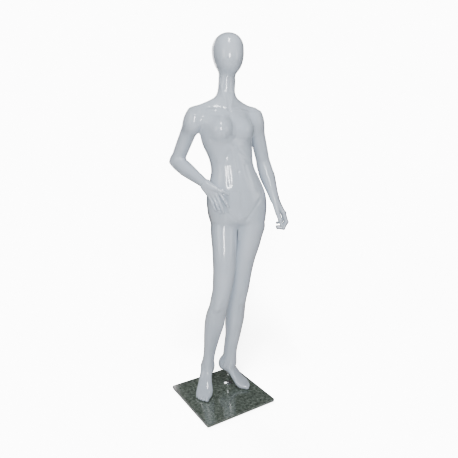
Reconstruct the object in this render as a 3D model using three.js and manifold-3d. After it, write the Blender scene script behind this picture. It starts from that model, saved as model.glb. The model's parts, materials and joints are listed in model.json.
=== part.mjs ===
import * as THREE from 'three';
import { mergeVertices } from 'three/addons/utils/BufferGeometryUtils.js';
import Module from 'manifold-3d';

// Full body display mannequin on a square glass base. Millimetres, +Z up, origin under the base centre.
// The body is laid out in its own frame, turned on the base: x to its left, y to its back, z from the glass.

// ---- Driving dimensions -------------------------------------------------------------------------
const BASE_SIDE = 400;
const GLASS = 10;
const BUMPER_HEIGHT = 6;
const GLASS_TOP = BUMPER_HEIGHT + GLASS;
const STANCE_TURN = -32.44;
const WALL = 4.5;
const SEAM_GAP = 0.5;
const PLATE = 8;
const PLATE_DEPTH = 4;
const FIT_GAP = 0.3;
const ROD_RADIUS = 6;
const ROD_X = 31.5;
const ROD_Y = 95.8;
const ROD_TOP = 240;
const SOCKET_RADIUS = 9;
const SOCKET_LOW = 62;
const SOCKET_TOP = 262;

const wasm = await Module();
wasm.setup();

// ---- Small maths --------------------------------------------------------------------------------
const radians = THREE.MathUtils.degToRad;
const vec = (x, y, z) => new THREE.Vector3(x, y, z);
const along = (point, direction, distance) => point.clone().addScaledVector(direction, distance);

function smoothMin(a, b, k) {
  const h = Math.max(k - Math.abs(a - b), 0);
  return Math.min(a, b) - (h * h) / (4 * k);
}
const smoothMax = (a, b, k) => -smoothMin(-a, -b, k);

// Natural cubic spline through rows of values, the first value in each row being the knot.
function spline(rows) {
  const knots = rows.map((row) => row[0]);
  const values = rows.map((row) => row.slice(1));
  const last = knots.length - 1;
  const step = knots.slice(1).map((knot, i) => knot - knots[i]);
  const bends = values[0].map((_, c) => {
    const upper = new Array(last + 1).fill(0);
    const bend = new Array(last + 1).fill(0);
    for (let i = 1; i < last; i++) {
      const before = (values[i][c] - values[i - 1][c]) / step[i - 1];
      const after = (values[i + 1][c] - values[i][c]) / step[i];
      const pivot = 2 * (step[i - 1] + step[i]) - step[i - 1] * upper[i - 1];
      upper[i] = step[i] / pivot;
      bend[i] = (6 * (after - before) - step[i - 1] * bend[i - 1]) / pivot;
    }
    for (let i = last - 1; i > 0; i--) bend[i] -= upper[i] * bend[i + 1];
    return bend;
  });
  return (position) => {
    const t = Math.min(Math.max(position, knots[0]), knots[last]);
    let i = 0;
    while (i < last - 1 && t > knots[i + 1]) i++;
    const u = (t - knots[i]) / step[i];
    const w = 1 - u;
    const cubic = (step[i] * step[i]) / 6;
    return values[0].map((_, c) => w * values[i][c] + u * values[i + 1][c]
      + cubic * ((w ** 3 - w) * bends[c][i] + (u ** 3 - u) * bends[c][i + 1]));
  };
}

// ---- Soft body volumes: each returns a signed distance, below zero inside -------------------------
// Tube of oval sections. A station is s along the axis, side shift, back shift, half width,
// front depth, back depth and turn in degrees.
function loft({
  stations, origin = vec(0, 0, 0), axis = vec(0, 0, 1), side = vec(1, 0, 0), power = 2.1, cap = 8,
}) {
  const at = spline(stations);
  const low = stations[0][0];
  const high = stations[stations.length - 1][0];
  const w = axis.clone().normalize();
  const u = side.clone().addScaledVector(w, -side.dot(w)).normalize();
  const v = w.clone().cross(u);
  const q = vec(0, 0, 0);
  return (p) => {
    q.copy(p).sub(origin);
    const s = q.dot(w);
    const [shiftU, shiftV, wide, front, back, turn = 0] = at(s);
    const dx = q.dot(u) - shiftU;
    const dy = q.dot(v) - shiftV;
    const cos = Math.cos(radians(turn));
    const sin = Math.sin(radians(turn));
    const x = cos * dx + sin * dy;
    const y = cos * dy - sin * dx;
    const mean = (front + back) / 2;
    const deep = mean + ((back - front) / 2) * y / Math.hypot(y, 0.35 * mean);
    const g = ((Math.abs(x) / wide) ** power + (Math.abs(y) / deep) ** power + 1e-12) ** (1 / power);
    return smoothMax(Math.hypot(x, y) * (1 - 1 / g), Math.max(low - s, s - high), cap);
  };
}

// Loft along a bone; a station is the fraction of its length, half width, front and back depth.
function bone(from, to, side, stations) {
  const axis = to.clone().sub(from);
  const length = axis.length();
  const rows = stations.map(([f, ...sizes]) => [f * length, 0, 0, ...sizes]);
  return loft({ stations: rows, origin: from, axis, side });
}

// Ellipsoid turned about the vertical and then leaned in its own side plane.
function ellipsoid(centre, radii, turn, lean = 0) {
  const turned = new THREE.Matrix4().makeRotationZ(radians(turn));
  const back = turned.multiply(new THREE.Matrix4().makeRotationY(radians(lean))).invert();
  const q = vec(0, 0, 0);
  return (p) => {
    q.copy(p).sub(centre).applyMatrix4(back).divide(radii);
    const k0 = q.length();
    const k1 = q.divide(radii).length() + 1e-9;
    return (k0 * (k0 - 1)) / k1;
  };
}

function roundCone(from, to, startRadius, endRadius) {
  const span = to.clone().sub(from);
  const q = vec(0, 0, 0);
  return (p) => {
    q.copy(p).sub(from);
    const t = Math.min(Math.max(q.dot(span) / span.lengthSq(), 0), 1);
    return q.addScaledVector(span, -t).length() - startRadius - (endRadius - startRadius) * t;
  };
}

const blend = (k, ...volumes) => (p) => volumes.reduce((d, volume) => smoothMin(d, volume(p), k), 1e3);

// Places given across and behind a turned body section.
function sectionFrame(x, y, turn) {
  const cos = Math.cos(radians(turn));
  const sin = Math.sin(radians(turn));
  return (across, behind, z) => vec(x + cos * across - sin * behind, y + sin * across + cos * behind, z);
}

// ---- The body -----------------------------------------------------------------------------------
const CHEST_TURN = 20;
const BUST_TURN = 31;
const PELVIS_TURN = 12;
const CROTCH_X = 84.4;
const chest = sectionFrame(20, 46, CHEST_TURN);
const pelvis = sectionFrame(80, 50, PELVIS_TURN);

// Rows: height, centre x, centre y, half width, front depth, back depth, turn.
const trunk = loft({ power: 2.3, cap: 30, stations: [
  [898, 85, 50, 40, 30, 36, 12], [920, 84, 50, 112, 62, 76, 12], [945, 83, 50, 139, 82, 98, 12],
  [980, 80, 50, 149, 90, 106, 12], [1020, 77, 50, 152, 94, 104, 12], [1060, 75, 50, 149, 95, 96, 12],
  [1100, 72, 49, 139, 94, 84, 13], [1140, 67, 48, 125, 92, 75, 14], [1180, 60, 47, 113, 88, 71, 16],
  [1220, 51, 46, 108, 85, 73, 18], [1260, 43, 46, 113, 86, 79, 20], [1300, 33, 46, 123, 90, 87, 23],
  [1340, 26, 46, 129, 94, 95, 26], [1380, 21, 46, 131, 95, 98, 26], [1420, 18, 47, 136, 88, 98, 24],
  [1455, 19, 50, 126, 70, 88, 20], [1485, 20, 55, 96, 50, 66, 20], [1510, 22, 57, 60, 40, 50, 20]] });

const neckSide = vec(0.94, 0.34, 0);
const neck = bone(vec(20, 62, 1480), vec(30, 42, 1680), neckSide,
  [[0, 58, 52, 56], [0.25, 46, 45, 50], [0.5, 41, 43, 45], [0.75, 40, 43, 43], [1, 40, 42, 42]]);
const shoulderLine = blend(20,
  roundCone(vec(21, 66, 1512), vec(-116, 18, 1466), 42, 28),
  roundCone(vec(21, 66, 1512), vec(148, 102, 1466), 42, 28));

// Egg: blunt above its widest level, longer below, and leaning forward toward the chin.
const HEAD = { centre: vec(31, 42, 1750), up: 77, down: 116, wide: 73, deep: 93, lean: 0.16, power: 2.15 };
function head(p) {
  const { centre, up, down, wide, deep, lean, power } = HEAD;
  const cos = Math.cos(radians(CHEST_TURN));
  const sin = Math.sin(radians(CHEST_TURN));
  const dx = p.x - centre.x;
  const dy = p.y - centre.y;
  const z = p.z - centre.z;
  const tall = z > 0 ? up : down;
  const x = cos * dx + sin * dy;
  const y = cos * dy - sin * dx - lean * Math.min(z, 0);
  const section = (Math.abs(x) / wide) ** power + (Math.abs(y) / deep) ** power;
  const k0 = (section + (Math.abs(z) / tall) ** power + 1e-12) ** (1 / power);
  return (k0 * (k0 - 1)) / (Math.hypot(x / wide ** 2, y / deep ** 2, z / tall ** 2) + 1e-9);
}

const bust = sectionFrame(20, 46, BUST_TURN);
const breasts = blend(1, ...[-60, 60].map((x) => ellipsoid(bust(x, -66, 1378), vec(52, 50, 54), BUST_TURN)));
const seat = blend(1, ...[-66, 66].map((x) => ellipsoid(pelvis(x, 56, 970), vec(74, 70, 84), PELVIS_TURN)));

const rightLegColumn = loft({ cap: 24, stations: [
  [84, -79, 70, 26, 30, 38, 5], [110, -79, 68, 30, 38, 43, 5], [145, -77, 66, 31, 38, 42, 5],
  [180, -72, 62, 30, 34, 39, 6], [220, -66, 55, 32, 33, 39, 7], [260, -60, 46, 36, 34, 43, 8],
  [300, -54, 37, 41, 37, 49, 8], [340, -47, 28, 46, 40, 56, 8], [380, -40, 18, 50.5, 42, 60, 8],
  [420, -34, 8, 51, 43, 60, 8], [460, -26, -3, 49.5, 45, 55, 8], [500, -15, -12, 47, 50, 51, 8],
  [540, -6, -17, 48, 53, 50, 8], [580, 3, -17, 49, 55, 51, 8], [620, 8, -15, 52, 57, 54, 8],
  [680, 14, -12, 56, 61, 58, 8], [740, 15, -4, 59, 64, 62, 8], [800, 15, 10, 62, 67, 67, 9],
  [860, 13, 28, 66, 69, 73, 10], [900, 14, 40, 68, 70, 78, 11], [950, 22, 46, 66, 66, 80, 12],
  [1040, 44, 50, 40, 40, 50, 12]] });
const leftLegColumn = loft({ cap: 24, stations: [
  [84, 34, 99, 26, 30, 38, 66], [110, 38, 98, 29, 38, 43, 66], [145, 41, 97, 30, 38, 43, 64],
  [180, 44, 96, 29.5, 35, 39, 62], [220, 49, 94, 32, 34, 39, 60], [260, 56, 91, 36, 35, 42, 58],
  [300, 63, 88, 40, 36, 45, 56], [340, 67, 84, 45, 39, 50, 54], [380, 71, 80, 49, 42, 55, 52],
  [420, 74, 77, 50, 43, 56, 50], [460, 76, 72, 49.5, 45, 54, 48], [500, 79, 67, 48.5, 49, 52, 46],
  [540, 85, 64, 49.5, 53, 50, 44], [580, 91, 66, 51, 55, 51, 42], [620, 96, 68, 53, 56, 54, 38],
  [680, 103, 71, 58, 60, 59, 33], [740, 115, 72, 61, 64, 64, 28], [800, 131, 69, 64, 67, 70, 24],
  [860, 144, 64, 66, 70, 75, 20], [900, 152, 58, 68, 71, 79, 18], [950, 145, 56, 66, 68, 80, 16],
  [1040, 124, 57, 40, 40, 50, 14]] });

// Foot standing on its ball with the heel raised. bigToe is the side, +1 or -1, that the big toe is on.
const FOOT_LENGTH = 210;
function footVolume(heel, toe, bigToe) {
  const axis = toe.clone().sub(heel);
  const k = axis.length() / FOOT_LENGTH;
  axis.normalize();
  const side = vec(0, 0, 1).cross(axis);
  // Rows: distance from the heel, shift to the big toe, height, half width, depth below, depth above.
  const rows = [[0, 0, 112, 15, 13, 12], [10, 0, 112, 26, 24, 28], [32, 0, 110, 32, 31, 40],
    [62, -2, 103, 30, 36, 38], [92, -3, 73, 33, 32, 32], [118, -2, 45, 38, 28, 27],
    [140, 0, 27, 43, 24, 23], [160, 0, 18, 43, 18, 18], [176, 1, 14, 38, 14, 14], [186, 2, 12, 30, 10, 10]];
  const stations = rows.map(([s, shift, ...rest]) => [s * k, shift * bigToe, ...rest]);
  const at = (s, shift, z) => along(along(heel, axis, s * k), side, shift * bigToe).setZ(z);
  // Toes: distance, shift and height at the root and at the tip, and the two radii.
  const toes = [[160, 27, 15, 201, 22, 10, 14, 10.5], [160, 8, 14, 199, 3, 9, 10, 8],
    [158, -7, 13, 193, -11, 8.5, 9.5, 7.5], [154, -21, 12, 185, -23, 8, 9, 7],
    [150, -33, 11, 174, -34, 7.5, 8.5, 7]];
  return blend(7, loft({ stations, origin: heel, axis, side, power: 2.3 }),
    ...toes.map(([s0, t0, z0, s1, t1, z1, r0, r1]) => roundCone(at(s0, t0, z0), at(s1, t1, z1), r0, r1)));
}
const FEET = {
  right: { heel: vec(-74, 120, 0), toe: vec(-100, -92, 0) },
  left: { heel: vec(-15, 128, 0), toe: vec(154, 46, 0) },
};
const rightLegVolume = blend(22, rightLegColumn, footVolume(FEET.right.heel, FEET.right.toe, 1));
const leftLegVolume = blend(22, leftLegColumn, footVolume(FEET.left.heel, FEET.left.toe, -1));

// Joints of each arm, and how far down it the armpit is.
const ARMS = {
  right: {
    shoulder: vec(-125, 5, 1450), elbow: vec(-232, 112, 1228), wrist: vec(-79, -47, 1124), armpitDrop: 50,
  },
  left: {
    shoulder: vec(160, 100, 1454), elbow: vec(221, 150, 1207), wrist: vec(268, 38, 1045), armpitDrop: 78,
  },
};
const armSide = vec(1, 0.3, 0);
const upperArm = ({ shoulder, elbow }) => bone(shoulder, elbow, armSide,
  [[-0.05, 38, 40, 42], [0.1, 42, 44, 46], [0.3, 39.5, 41, 43], [0.6, 37, 37, 39], [0.85, 35, 34, 36],
    [1.05, 32, 32, 34]]);
const foreArm = ({ elbow, wrist }) => bone(elbow, wrist, armSide,
  [[-0.08, 30, 31, 32], [0.1, 36, 36, 38], [0.28, 38, 36, 38], [0.5, 34, 32, 34], [0.75, 27, 26, 27],
    [0.95, 24, 20, 21], [1.06, 24, 19, 20]]);
const deltoids = {
  right: ellipsoid(vec(-131, 4, 1418), vec(44, 50, 62), CHEST_TURN, 16),
  left: ellipsoid(vec(163, 103, 1428), vec(44, 50, 64), CHEST_TURN, -12),
};

function torsoCore(p) {
  const shoulders = smoothMin(trunk(p), shoulderLine(p), 36);
  return smoothMin(smoothMin(shoulders, neck(p), 30), breasts(p), 34);
}
const torsoField = blend(26, torsoCore, deltoids.right, deltoids.left);
const shoulderField = (side) => blend(26, torsoCore, deltoids[side], upperArm(ARMS[side]));
const armField = (side) => blend(14, blend(26, deltoids[side], upperArm(ARMS[side])), foreArm(ARMS[side]));
const headField = blend(6, head, neck);

// ---- Meshes from the volumes ----------------------------------------------------------------------
// Distance from the centre, along a direction, to where the volume ends.
function reach(volume, centre, direction, limit) {
  const step = 6;
  let far = step;
  while (far < limit && volume(along(centre, direction, far)) < 0) far += step;
  if (far >= limit) return limit;
  let near = far - step;
  for (let i = 0; i < 12; i++) {
    const middle = (near + far) / 2;
    if (volume(along(centre, direction, middle)) < 0) near = middle;
    else far = middle;
  }
  return (near + far) / 2;
}

// How far rays look for the skin, and how many go round a ring.
const REACH = { head: 120, trunk: 190, limb: 84, hand: 60, digit: 16 };
const SIDES = { head: 20, trunk: 28, trunkInner: 16, leg: 18, limb: 12, digit: 7 };

// Closed tube through rings, each with a centre and an axis. A ring in a bend has a stop, and it can have
// a volume of its own where the piece joins another. The first ring's side is where rays start,
// and it is carried from ring to ring without twist.
function skin(volume, rings, segments, limit, inset = 0) {
  const positions = [];
  let u = rings[0].side.clone();
  for (const { centre, axis, stop, inward, joined = volume } of rings) {
    const edge = stop ? stop.dot(inward) : 0;
    const solid = stop ? (p) => Math.max(joined(p), p.dot(inward) - edge) + inset : (p) => volume(p) + inset;
    const w = axis.clone().normalize();
    u = u.clone().addScaledVector(w, -u.dot(w)).normalize();
    const v = w.clone().cross(u);
    for (let i = 0; i < segments; i++) {
      const angle = (2 * Math.PI * i) / segments;
      const ray = u.clone().multiplyScalar(Math.cos(angle)).addScaledVector(v, Math.sin(angle));
      positions.push(along(centre, ray, Math.max(reach(solid, centre, ray, limit), 1)));
    }
  }
  return tube(positions, rings.map((ring) => ring.centre), segments);
}

// The main body of a cut solid, without the slivers that a cut can leave.
const largest = (solid) => solid.decompose().reduce((a, b) => (b.volume() > a.volume() ? b : a));

function tube(points, centres, segments) {
  const rings = centres.length;
  const triangles = [];
  const around = (ring, i) => ring * segments + (i % segments);
  for (let ring = 0; ring + 1 < rings; ring++) {
    for (let i = 0; i < segments; i++) {
      const [a, b, c, d] = [around(ring, i), around(ring, i + 1), around(ring + 1, i + 1), around(ring + 1, i)];
      triangles.push(a, b, c, a, c, d);
    }
  }
  const all = [...points, centres[0], centres[rings - 1]];
  for (let i = 0; i < segments; i++) {
    triangles.push(rings * segments, around(0, i + 1), around(0, i));
    triangles.push(rings * segments + 1, around(rings - 1, i), around(rings - 1, i + 1));
  }
  return new wasm.Manifold(new wasm.Mesh({
    numProp: 3,
    vertProperties: new Float32Array(all.flatMap((p) => [p.x, p.y, p.z])),
    triVerts: new Uint32Array(triangles),
  }));
}

function fromGeometry(geometry) {
  const bare = geometry.clone();
  bare.deleteAttribute('normal');
  bare.deleteAttribute('uv');
  const merged = mergeVertices(bare, 1e-4);
  return new wasm.Manifold(new wasm.Mesh({
    numProp: 3,
    vertProperties: new Float32Array(merged.attributes.position.array),
    triVerts: new Uint32Array(merged.index.array),
  }));
}

// Matrix that stands a shape made along +Z on a point, along a direction.
function stand(point, direction, spin = 0) {
  const turn = new THREE.Quaternion().setFromUnitVectors(vec(0, 0, 1), direction.clone().normalize());
  const rolled = turn.multiply(new THREE.Quaternion().setFromAxisAngle(vec(0, 0, 1), radians(spin)));
  return new THREE.Matrix4().compose(point, rolled, vec(1, 1, 1));
}

function cylinder(radius, low, high, segments, topRadius = radius) {
  const geometry = new THREE.CylinderGeometry(topRadius, radius, high - low, segments);
  return geometry.rotateX(Math.PI / 2).translate(0, 0, (low + high) / 2);
}
const atRod = (geometry) => fromGeometry(geometry.translate(ROD_X, ROD_Y, 0));
const block = (x, y, low, high) => new THREE.BoxGeometry(x, y, high - low).translate(0, 0, (low + high) / 2);

// Slab between two distances along a seam's direction, wide enough to trim any section.
function slab(seam, low, high, width = 520) {
  return fromGeometry(block(width, width, low, high).applyMatrix4(stand(seam.centre, seam.normal)));
}

// ---- Seams: where the body comes apart. The normal points away from the trunk ----------------------
function shoulderSeam(sign, tilt) {
  const centre = chest(sign * 124.6, 0, 1440);
  const out = chest(sign * 125.6, 0, 1440 + tilt).sub(centre);
  return { centre, normal: out.normalize() };
}
const SEAMS = {
  neck: { centre: vec(28, 46, 1622), normal: vec(0, 0, 1) },
  waist: { centre: vec(71, 49, 1086), normal: vec(0, 0, -1) },
  right_shoulder: shoulderSeam(-1, 0.2),
  left_shoulder: shoulderSeam(1, 0.12),
  right_thigh: { centre: vec(14, 40, 912), normal: vec(-0.2553, 0, -0.967).normalize() },
  right_wrist: { centre: ARMS.right.wrist, normal: vec(0.65, -0.4, -0.62).normalize() },
  left_wrist: { centre: ARMS.left.wrist, normal: vec(0.26, -0.38, -0.89).normalize() },
};

// ---- Rings that carry the skins -------------------------------------------------------------------
const down = vec(0, 0, -1);
const slerp = (a, b, w) => {
  const angle = a.angleTo(b);
  const part = a.clone().multiplyScalar(Math.sin((1 - w) * angle));
  return part.addScaledVector(b, Math.sin(w * angle)).normalize();
};

// Rings fanned about a pivot in the inside of a bend, from one axis to another. They stop short of it.
const CREASE = 2.5;
function fan(pivot, fromAxis, toAxis, fromCentre, toCentre, count) {
  const hinge = fromAxis.clone().cross(toAxis).normalize();
  return Array.from({ length: count + 1 }, (_, i) => {
    const axis = slerp(fromAxis, toAxis, i / count);
    const middle = fromCentre.clone().lerp(toCentre, i / count);
    const centre = along(middle, axis, -middle.clone().sub(pivot).dot(axis));
    const inward = pivot.clone().sub(centre);
    inward.addScaledVector(hinge, -inward.dot(hinge)).normalize();
    return { centre, axis, stop: along(pivot, inward, -CREASE), inward };
  });
}

function armRings(side, shift) {
  const { shoulder, elbow, wrist, armpitDrop } = ARMS[side];
  const seam = SEAMS[`${side}_shoulder`];
  const wristSeam = SEAMS[`${side}_wrist`];
  const joined = shoulderField(side);
  const upper = elbow.clone().sub(shoulder);
  const upperLength = upper.length();
  upper.normalize();
  const fore = wrist.clone().sub(elbow);
  const foreLength = fore.length();
  fore.normalize();
  const armpit = along(seam.centre, upper, armpitDrop);
  const start = along(shoulder, upper, armpit.clone().sub(shoulder).dot(upper));
  const rings = fan(armpit, seam.normal, upper, seam.centre, start, 4).map((ring) => ({ ...ring, joined }));
  rings[0].centre = along(seam.centre, seam.normal, shift);
  rings[0].side = seam.normal.clone().cross(upper);
  const onUpper = (f) => ({ centre: along(shoulder, upper, f * upperLength), axis: upper });
  const onFore = (f) => ({ centre: along(elbow, fore, f * foreLength), axis: fore });
  rings.push(...[0.44, 0.6, 0.72].map(onUpper));
  const crook = along(elbow, fore.clone().sub(upper).normalize(), 38);
  const back = along(elbow, upper, crook.clone().sub(elbow).dot(upper));
  const front = along(elbow, fore, crook.clone().sub(elbow).dot(fore));
  rings.push(...fan(crook, upper, fore, back, front, 4));
  rings.push(...[0.3, 0.45, 0.62, 0.8].map(onFore));
  rings.push({ centre: along(wrist, wristSeam.normal, -shift), axis: wristSeam.normal });
  return rings;
}

// Places along a foot: distance from the heel and height.
function footRings({ heel, toe }, ankle) {
  const flat = toe.clone().sub(heel);
  const k = flat.length() / FOOT_LENGTH;
  flat.normalize();
  const slope = flat.clone().multiplyScalar(0.857).addScaledVector(down, 0.515);
  const at = (s, z) => along(heel, flat, s * k).setZ(z);
  const ankleAt = ankle.clone().sub(heel).dot(flat) / k;
  const instep = at(ankleAt + 42, 125);
  const rings = fan(instep, down, slope, ankle, at(ankleAt + 19, 86), 4);
  const ring = (s, z, axis) => ({ centre: at(s, z), axis });
  rings.push(ring(94, 70, slope), ring(110, 54, slope), ring(126, 38, slope));
  rings.push(ring(144, 24, slope.clone().add(flat).normalize()), ring(162, 17, flat), ring(176, 14, flat));
  rings.push(ring(187, 11, flat), ring(196, 10, flat));
  return rings;
}

const column = (heights, centreAt, axis) => heights.map((z) => ({ centre: centreAt(z), axis, side: across }));
const centreLine = (rows) => {
  const at = spline(rows);
  return (z) => vec(...at(z), z);
};
const torsoCentre = centreLine([[1040, 74, 50], [1100, 70, 49], [1220, 51, 46], [1380, 27, 46], [1460, 20, 52],
  [1510, 22, 60], [1600, 26, 50], [1680, 30, 44]]);
const hipCentre = centreLine([[910, 85, 50], [1000, 78, 50], [1110, 70, 49]]);
const rightLegCentre = centreLine([[130, -78, 66], [180, -73, 62], [300, -55, 37], [380, -41, 20],
  [460, -27, 0], [540, -7, -15], [620, 7, -15], [740, 13, -4], [860, 13, 28], [960, 22, 46]]);
const leftLegCentre = centreLine([[130, 40, 97], [180, 44, 96], [300, 62, 88], [380, 70, 80],
  [460, 75, 72], [540, 84, 64], [620, 96, 68], [740, 115, 72], [860, 144, 64], [960, 145, 56]]);

const up = vec(0, 0, 1);
const across = vec(1, 0, 0);
const TORSO_LEVELS = [1060, 1100, 1140, 1180, 1220, 1260, 1300, 1340, 1366, 1390, 1415, 1440, 1458, 1474, 1488,
  1502, 1520, 1545, 1580, 1640];
const TORSO_INNER_LEVELS = [1070, 1130, 1190, 1250, 1310, 1366, 1415, 1450, 1474, 1490, 1506, 1530, 1570, 1660];
const LEG_LEVELS = [860, 810, 760, 710, 660, 620, 580, 550, 520, 490, 460, 430, 390, 350, 305, 260, 215, 175];
const LEG_INNER_LEVELS = [860, 780, 700, 630, 570, 520, 470, 420, 360, 290, 220, 165];
const HEAD_LEVELS = [1612, 1634, 1646, 1658, 1675, 1695, 1720, 1750, 1777, 1798, 1813, 1822, 1826.5];
const HEAD_INNER_LEVELS = [1606, 1630, 1647, 1665, 1700, 1750, 1785, 1808, 1819];

// ---- Shells -----------------------------------------------------------------------------------------
const FACE = SEAM_GAP / 2;
const standing = (volume) => (p) => Math.max(volume(p), 0.4 - p.z);
const PLATE_INSET = WALL + 0.7;

const headRing = (z) => vec(z < 1660 ? 29 : 31, 44 + 0.12 * Math.min(z - 1700, 0), z);
function headInside(inset) {
  return skin(headField, column(HEAD_INNER_LEVELS, headRing, up), SIDES.limb, REACH.head, inset);
}
function headShell() {
  const outer = skin(headField, column(HEAD_LEVELS, headRing, up), SIDES.head, REACH.head);
  return outer.subtract(headInside(WALL)).subtract(slab(SEAMS.neck, -60, FACE));
}

function torsoInside(inset) {
  return skin(torsoField, column(TORSO_INNER_LEVELS, torsoCentre, up), SIDES.trunkInner, REACH.trunk, inset);
}
function torsoShell() {
  const outer = skin(torsoField, column(TORSO_LEVELS, torsoCentre, up), SIDES.trunk, REACH.trunk);
  const seams = [SEAMS.neck, SEAMS.waist, SEAMS.right_shoulder, SEAMS.left_shoulder];
  const open = outer.subtract(torsoInside(WALL));
  return largest(seams.reduce((shell, seam) => shell.subtract(slab(seam, -FACE, 130)), open));
}

function armInside(side, inset) {
  return skin(armField(side), armRings(side, -6).slice(0, -1), SIDES.limb, REACH.limb, inset);
}
function armShell(side) {
  const outer = skin(armField(side), armRings(side, FACE), SIDES.limb, REACH.limb);
  return largest(outer.subtract(armInside(side, WALL)));
}

function legTop({ centre, normal }, shift) {
  return { centre: along(centre, normal, shift), axis: normal, side: across };
}
const legRings = (centreAt, heights, foot) => [
  ...column(heights, centreAt, down),
  ...(foot ? footRings(foot, centreAt(150)) : []),
];
function rightLegInside(inset) {
  const rings = [legTop(SEAMS.right_thigh, -6), ...legRings(rightLegCentre, LEG_INNER_LEVELS)];
  return skin(rightLegVolume, rings, SIDES.limb, REACH.limb, inset);
}
function rightLegShell() {
  const rings = [legTop(SEAMS.right_thigh, FACE), ...legRings(rightLegCentre, LEG_LEVELS, FEET.right)];
  return skin(standing(rightLegVolume), rings, SIDES.leg, REACH.limb).subtract(rightLegInside(WALL));
}

// The right half of the hips, up to the crotch line between the legs.
const rightHalf = () => fromGeometry(new THREE.BoxGeometry(400, 400, 600).translate(CROTCH_X - 200, 40, 900));

const hipField = blend(30, blend(26, trunk, seat), rightLegColumn, leftLegColumn);
const HIP_LEVELS = [1110, 1070, 1040, 1010, 985, 960, 940, 926];
const HIP_INNER_LEVELS = [1096, 1050, 1000, 960, 931];
const THIGH_LEVELS = [945, 905];
const THIGH_INNER_LEVELS = [950, 905];
function lowerInside(inset) {
  const leftLevels = [...THIGH_INNER_LEVELS, ...LEG_INNER_LEVELS];
  const stumpLevels = [...THIGH_INNER_LEVELS, 840];
  const hips = skin(hipField, column(HIP_INNER_LEVELS, hipCentre, down), SIDES.trunkInner, REACH.trunk, inset);
  const left = skin(leftLegVolume, legRings(leftLegCentre, leftLevels), SIDES.limb, REACH.limb, inset);
  const stump = skin(rightLegColumn, column(stumpLevels, rightLegCentre, down), SIDES.limb, REACH.limb, inset);
  return hips.add(left).add(stump);
}
function lowerShell() {
  const leftRings = legRings(leftLegCentre, [...THIGH_LEVELS, ...LEG_LEVELS], FEET.left);
  const stumpLevels = [...THIGH_LEVELS, 850];
  const hips = skin(hipField, column(HIP_LEVELS, hipCentre, down), SIDES.trunk, REACH.trunk);
  const left = skin(standing(leftLegVolume), leftRings, SIDES.leg, REACH.limb);
  const stump = skin(rightLegColumn, column(stumpLevels, rightLegCentre, down), SIDES.leg, REACH.limb);
  const below = slab(SEAMS.right_thigh, -FACE, 200).intersect(rightHalf());
  const bore = atRod(cylinder(SOCKET_RADIUS + FIT_GAP, SOCKET_LOW - FIT_GAP, SOCKET_TOP + 30, 16));
  const mouth = atRod(cylinder(SOCKET_RADIUS + 2, 0, SOCKET_LOW, 16));
  const inside = lowerInside(WALL);
  const trimmed = hips.add(stump).subtract(inside).subtract(below).add(left.subtract(inside));
  return largest(trimmed.subtract(slab(SEAMS.waist, -200, FACE)).subtract(bore).subtract(mouth));
}

// ---- Bayonet fittings ----------------------------------------------------------------------------------
// Radii of the flange, neck and lugs. Only the larger ones have end plates, which screws hold them to.
const SIZES = {
  small: { flange: 11, neck: 4, lug: 7.5, lugWide: 4, sides: 12 },
  medium: { flange: 25, neck: 9, lug: 16, lugWide: 8, sides: 16, blank: 126 },
  large: { flange: 40, neck: 15, lug: 26, lugWide: 12, sides: 18, blank: 320 },
};
const JOINTS = {
  neck: 'medium', right_shoulder: 'medium', left_shoulder: 'medium', waist: 'large', right_thigh: 'medium',
  right_wrist: 'small', left_wrist: 'small',
};
const FLANGE_FACE = 0.5;
const FLANGE_BACK = 3.7;
const LUG_THICK = 3;
const LUG_BASE = FLANGE_BACK + 0.8;
const LUG_TOP = LUG_BASE + LUG_THICK;
const SCREW = { head: 3.4, shank: 1.8, sink: 2, sides: 6 };

// Trunk side: two screws through the flange. Limb side: one up the middle of the stem.
function screwPlaces({ flange, neck, blank }, limb) {
  if (!blank) return [];
  if (limb) return [{ x: 0, y: 0, top: LUG_TOP }];
  const out = ((flange + neck) / 2 + 3) * Math.SQRT1_2;
  return [{ x: out, y: out, top: -FLANGE_FACE }, { x: -out, y: -out, top: -FLANGE_FACE }];
}

// A screw stands along +Z, with the top of its head at the given height and its tip inside the plate.
function screwShape({ x, y, top }, grow) {
  const { head: wide, shank, sink, sides } = SCREW;
  const end = -PLATE_DEPTH - PLATE + 1.5 - grow;
  const rim = [wide + grow, top];
  const crown = grow > 0 ? [rim, [wide + grow, top + grow], [0, top + grow]] : [rim, [0, top]];
  const profile = [[0, end], [shank + grow, end], [shank + grow, top - sink], ...crown];
  return new THREE.LatheGeometry(profile.map(([r, z]) => new THREE.Vector2(r, z)), sides).rotateX(Math.PI / 2)
    .translate(x, y, 0);
}
const drillScrews = (solid, size, limb) => screwPlaces(size, limb)
  .reduce((rest, spot) => rest.subtract(fromGeometry(screwShape(spot, FIT_GAP))), solid);

// One side of a joint, made on z = 0 with the seam's face at 0 and the plate below it.
function flangeSolid(size, lugged) {
  const { flange, neck, lug, lugWide, sides } = SIZES[size];
  let solid = fromGeometry(cylinder(flange, -FLANGE_BACK, -FLANGE_FACE, sides));
  if (lugged) {
    const stem = fromGeometry(cylinder(neck, -FLANGE_BACK + 0.1, LUG_TOP, sides));
    const lugs = fromGeometry(block(2 * lug, lugWide, LUG_BASE, LUG_TOP));
    const rim = fromGeometry(cylinder(lug, LUG_BASE - 1, LUG_TOP + 1, sides));
    solid = solid.add(stem).add(lugs.intersect(rim));
  } else {
    const eye = fromGeometry(cylinder(neck + 0.4, -20, 20, sides));
    const slot = fromGeometry(block(lugWide + 1.2, 2 * lug + 1.6, -20, 20));
    solid = solid.subtract(eye).subtract(slot);
  }
  return drillScrews(solid, SIZES[size], lugged);
}

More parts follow.
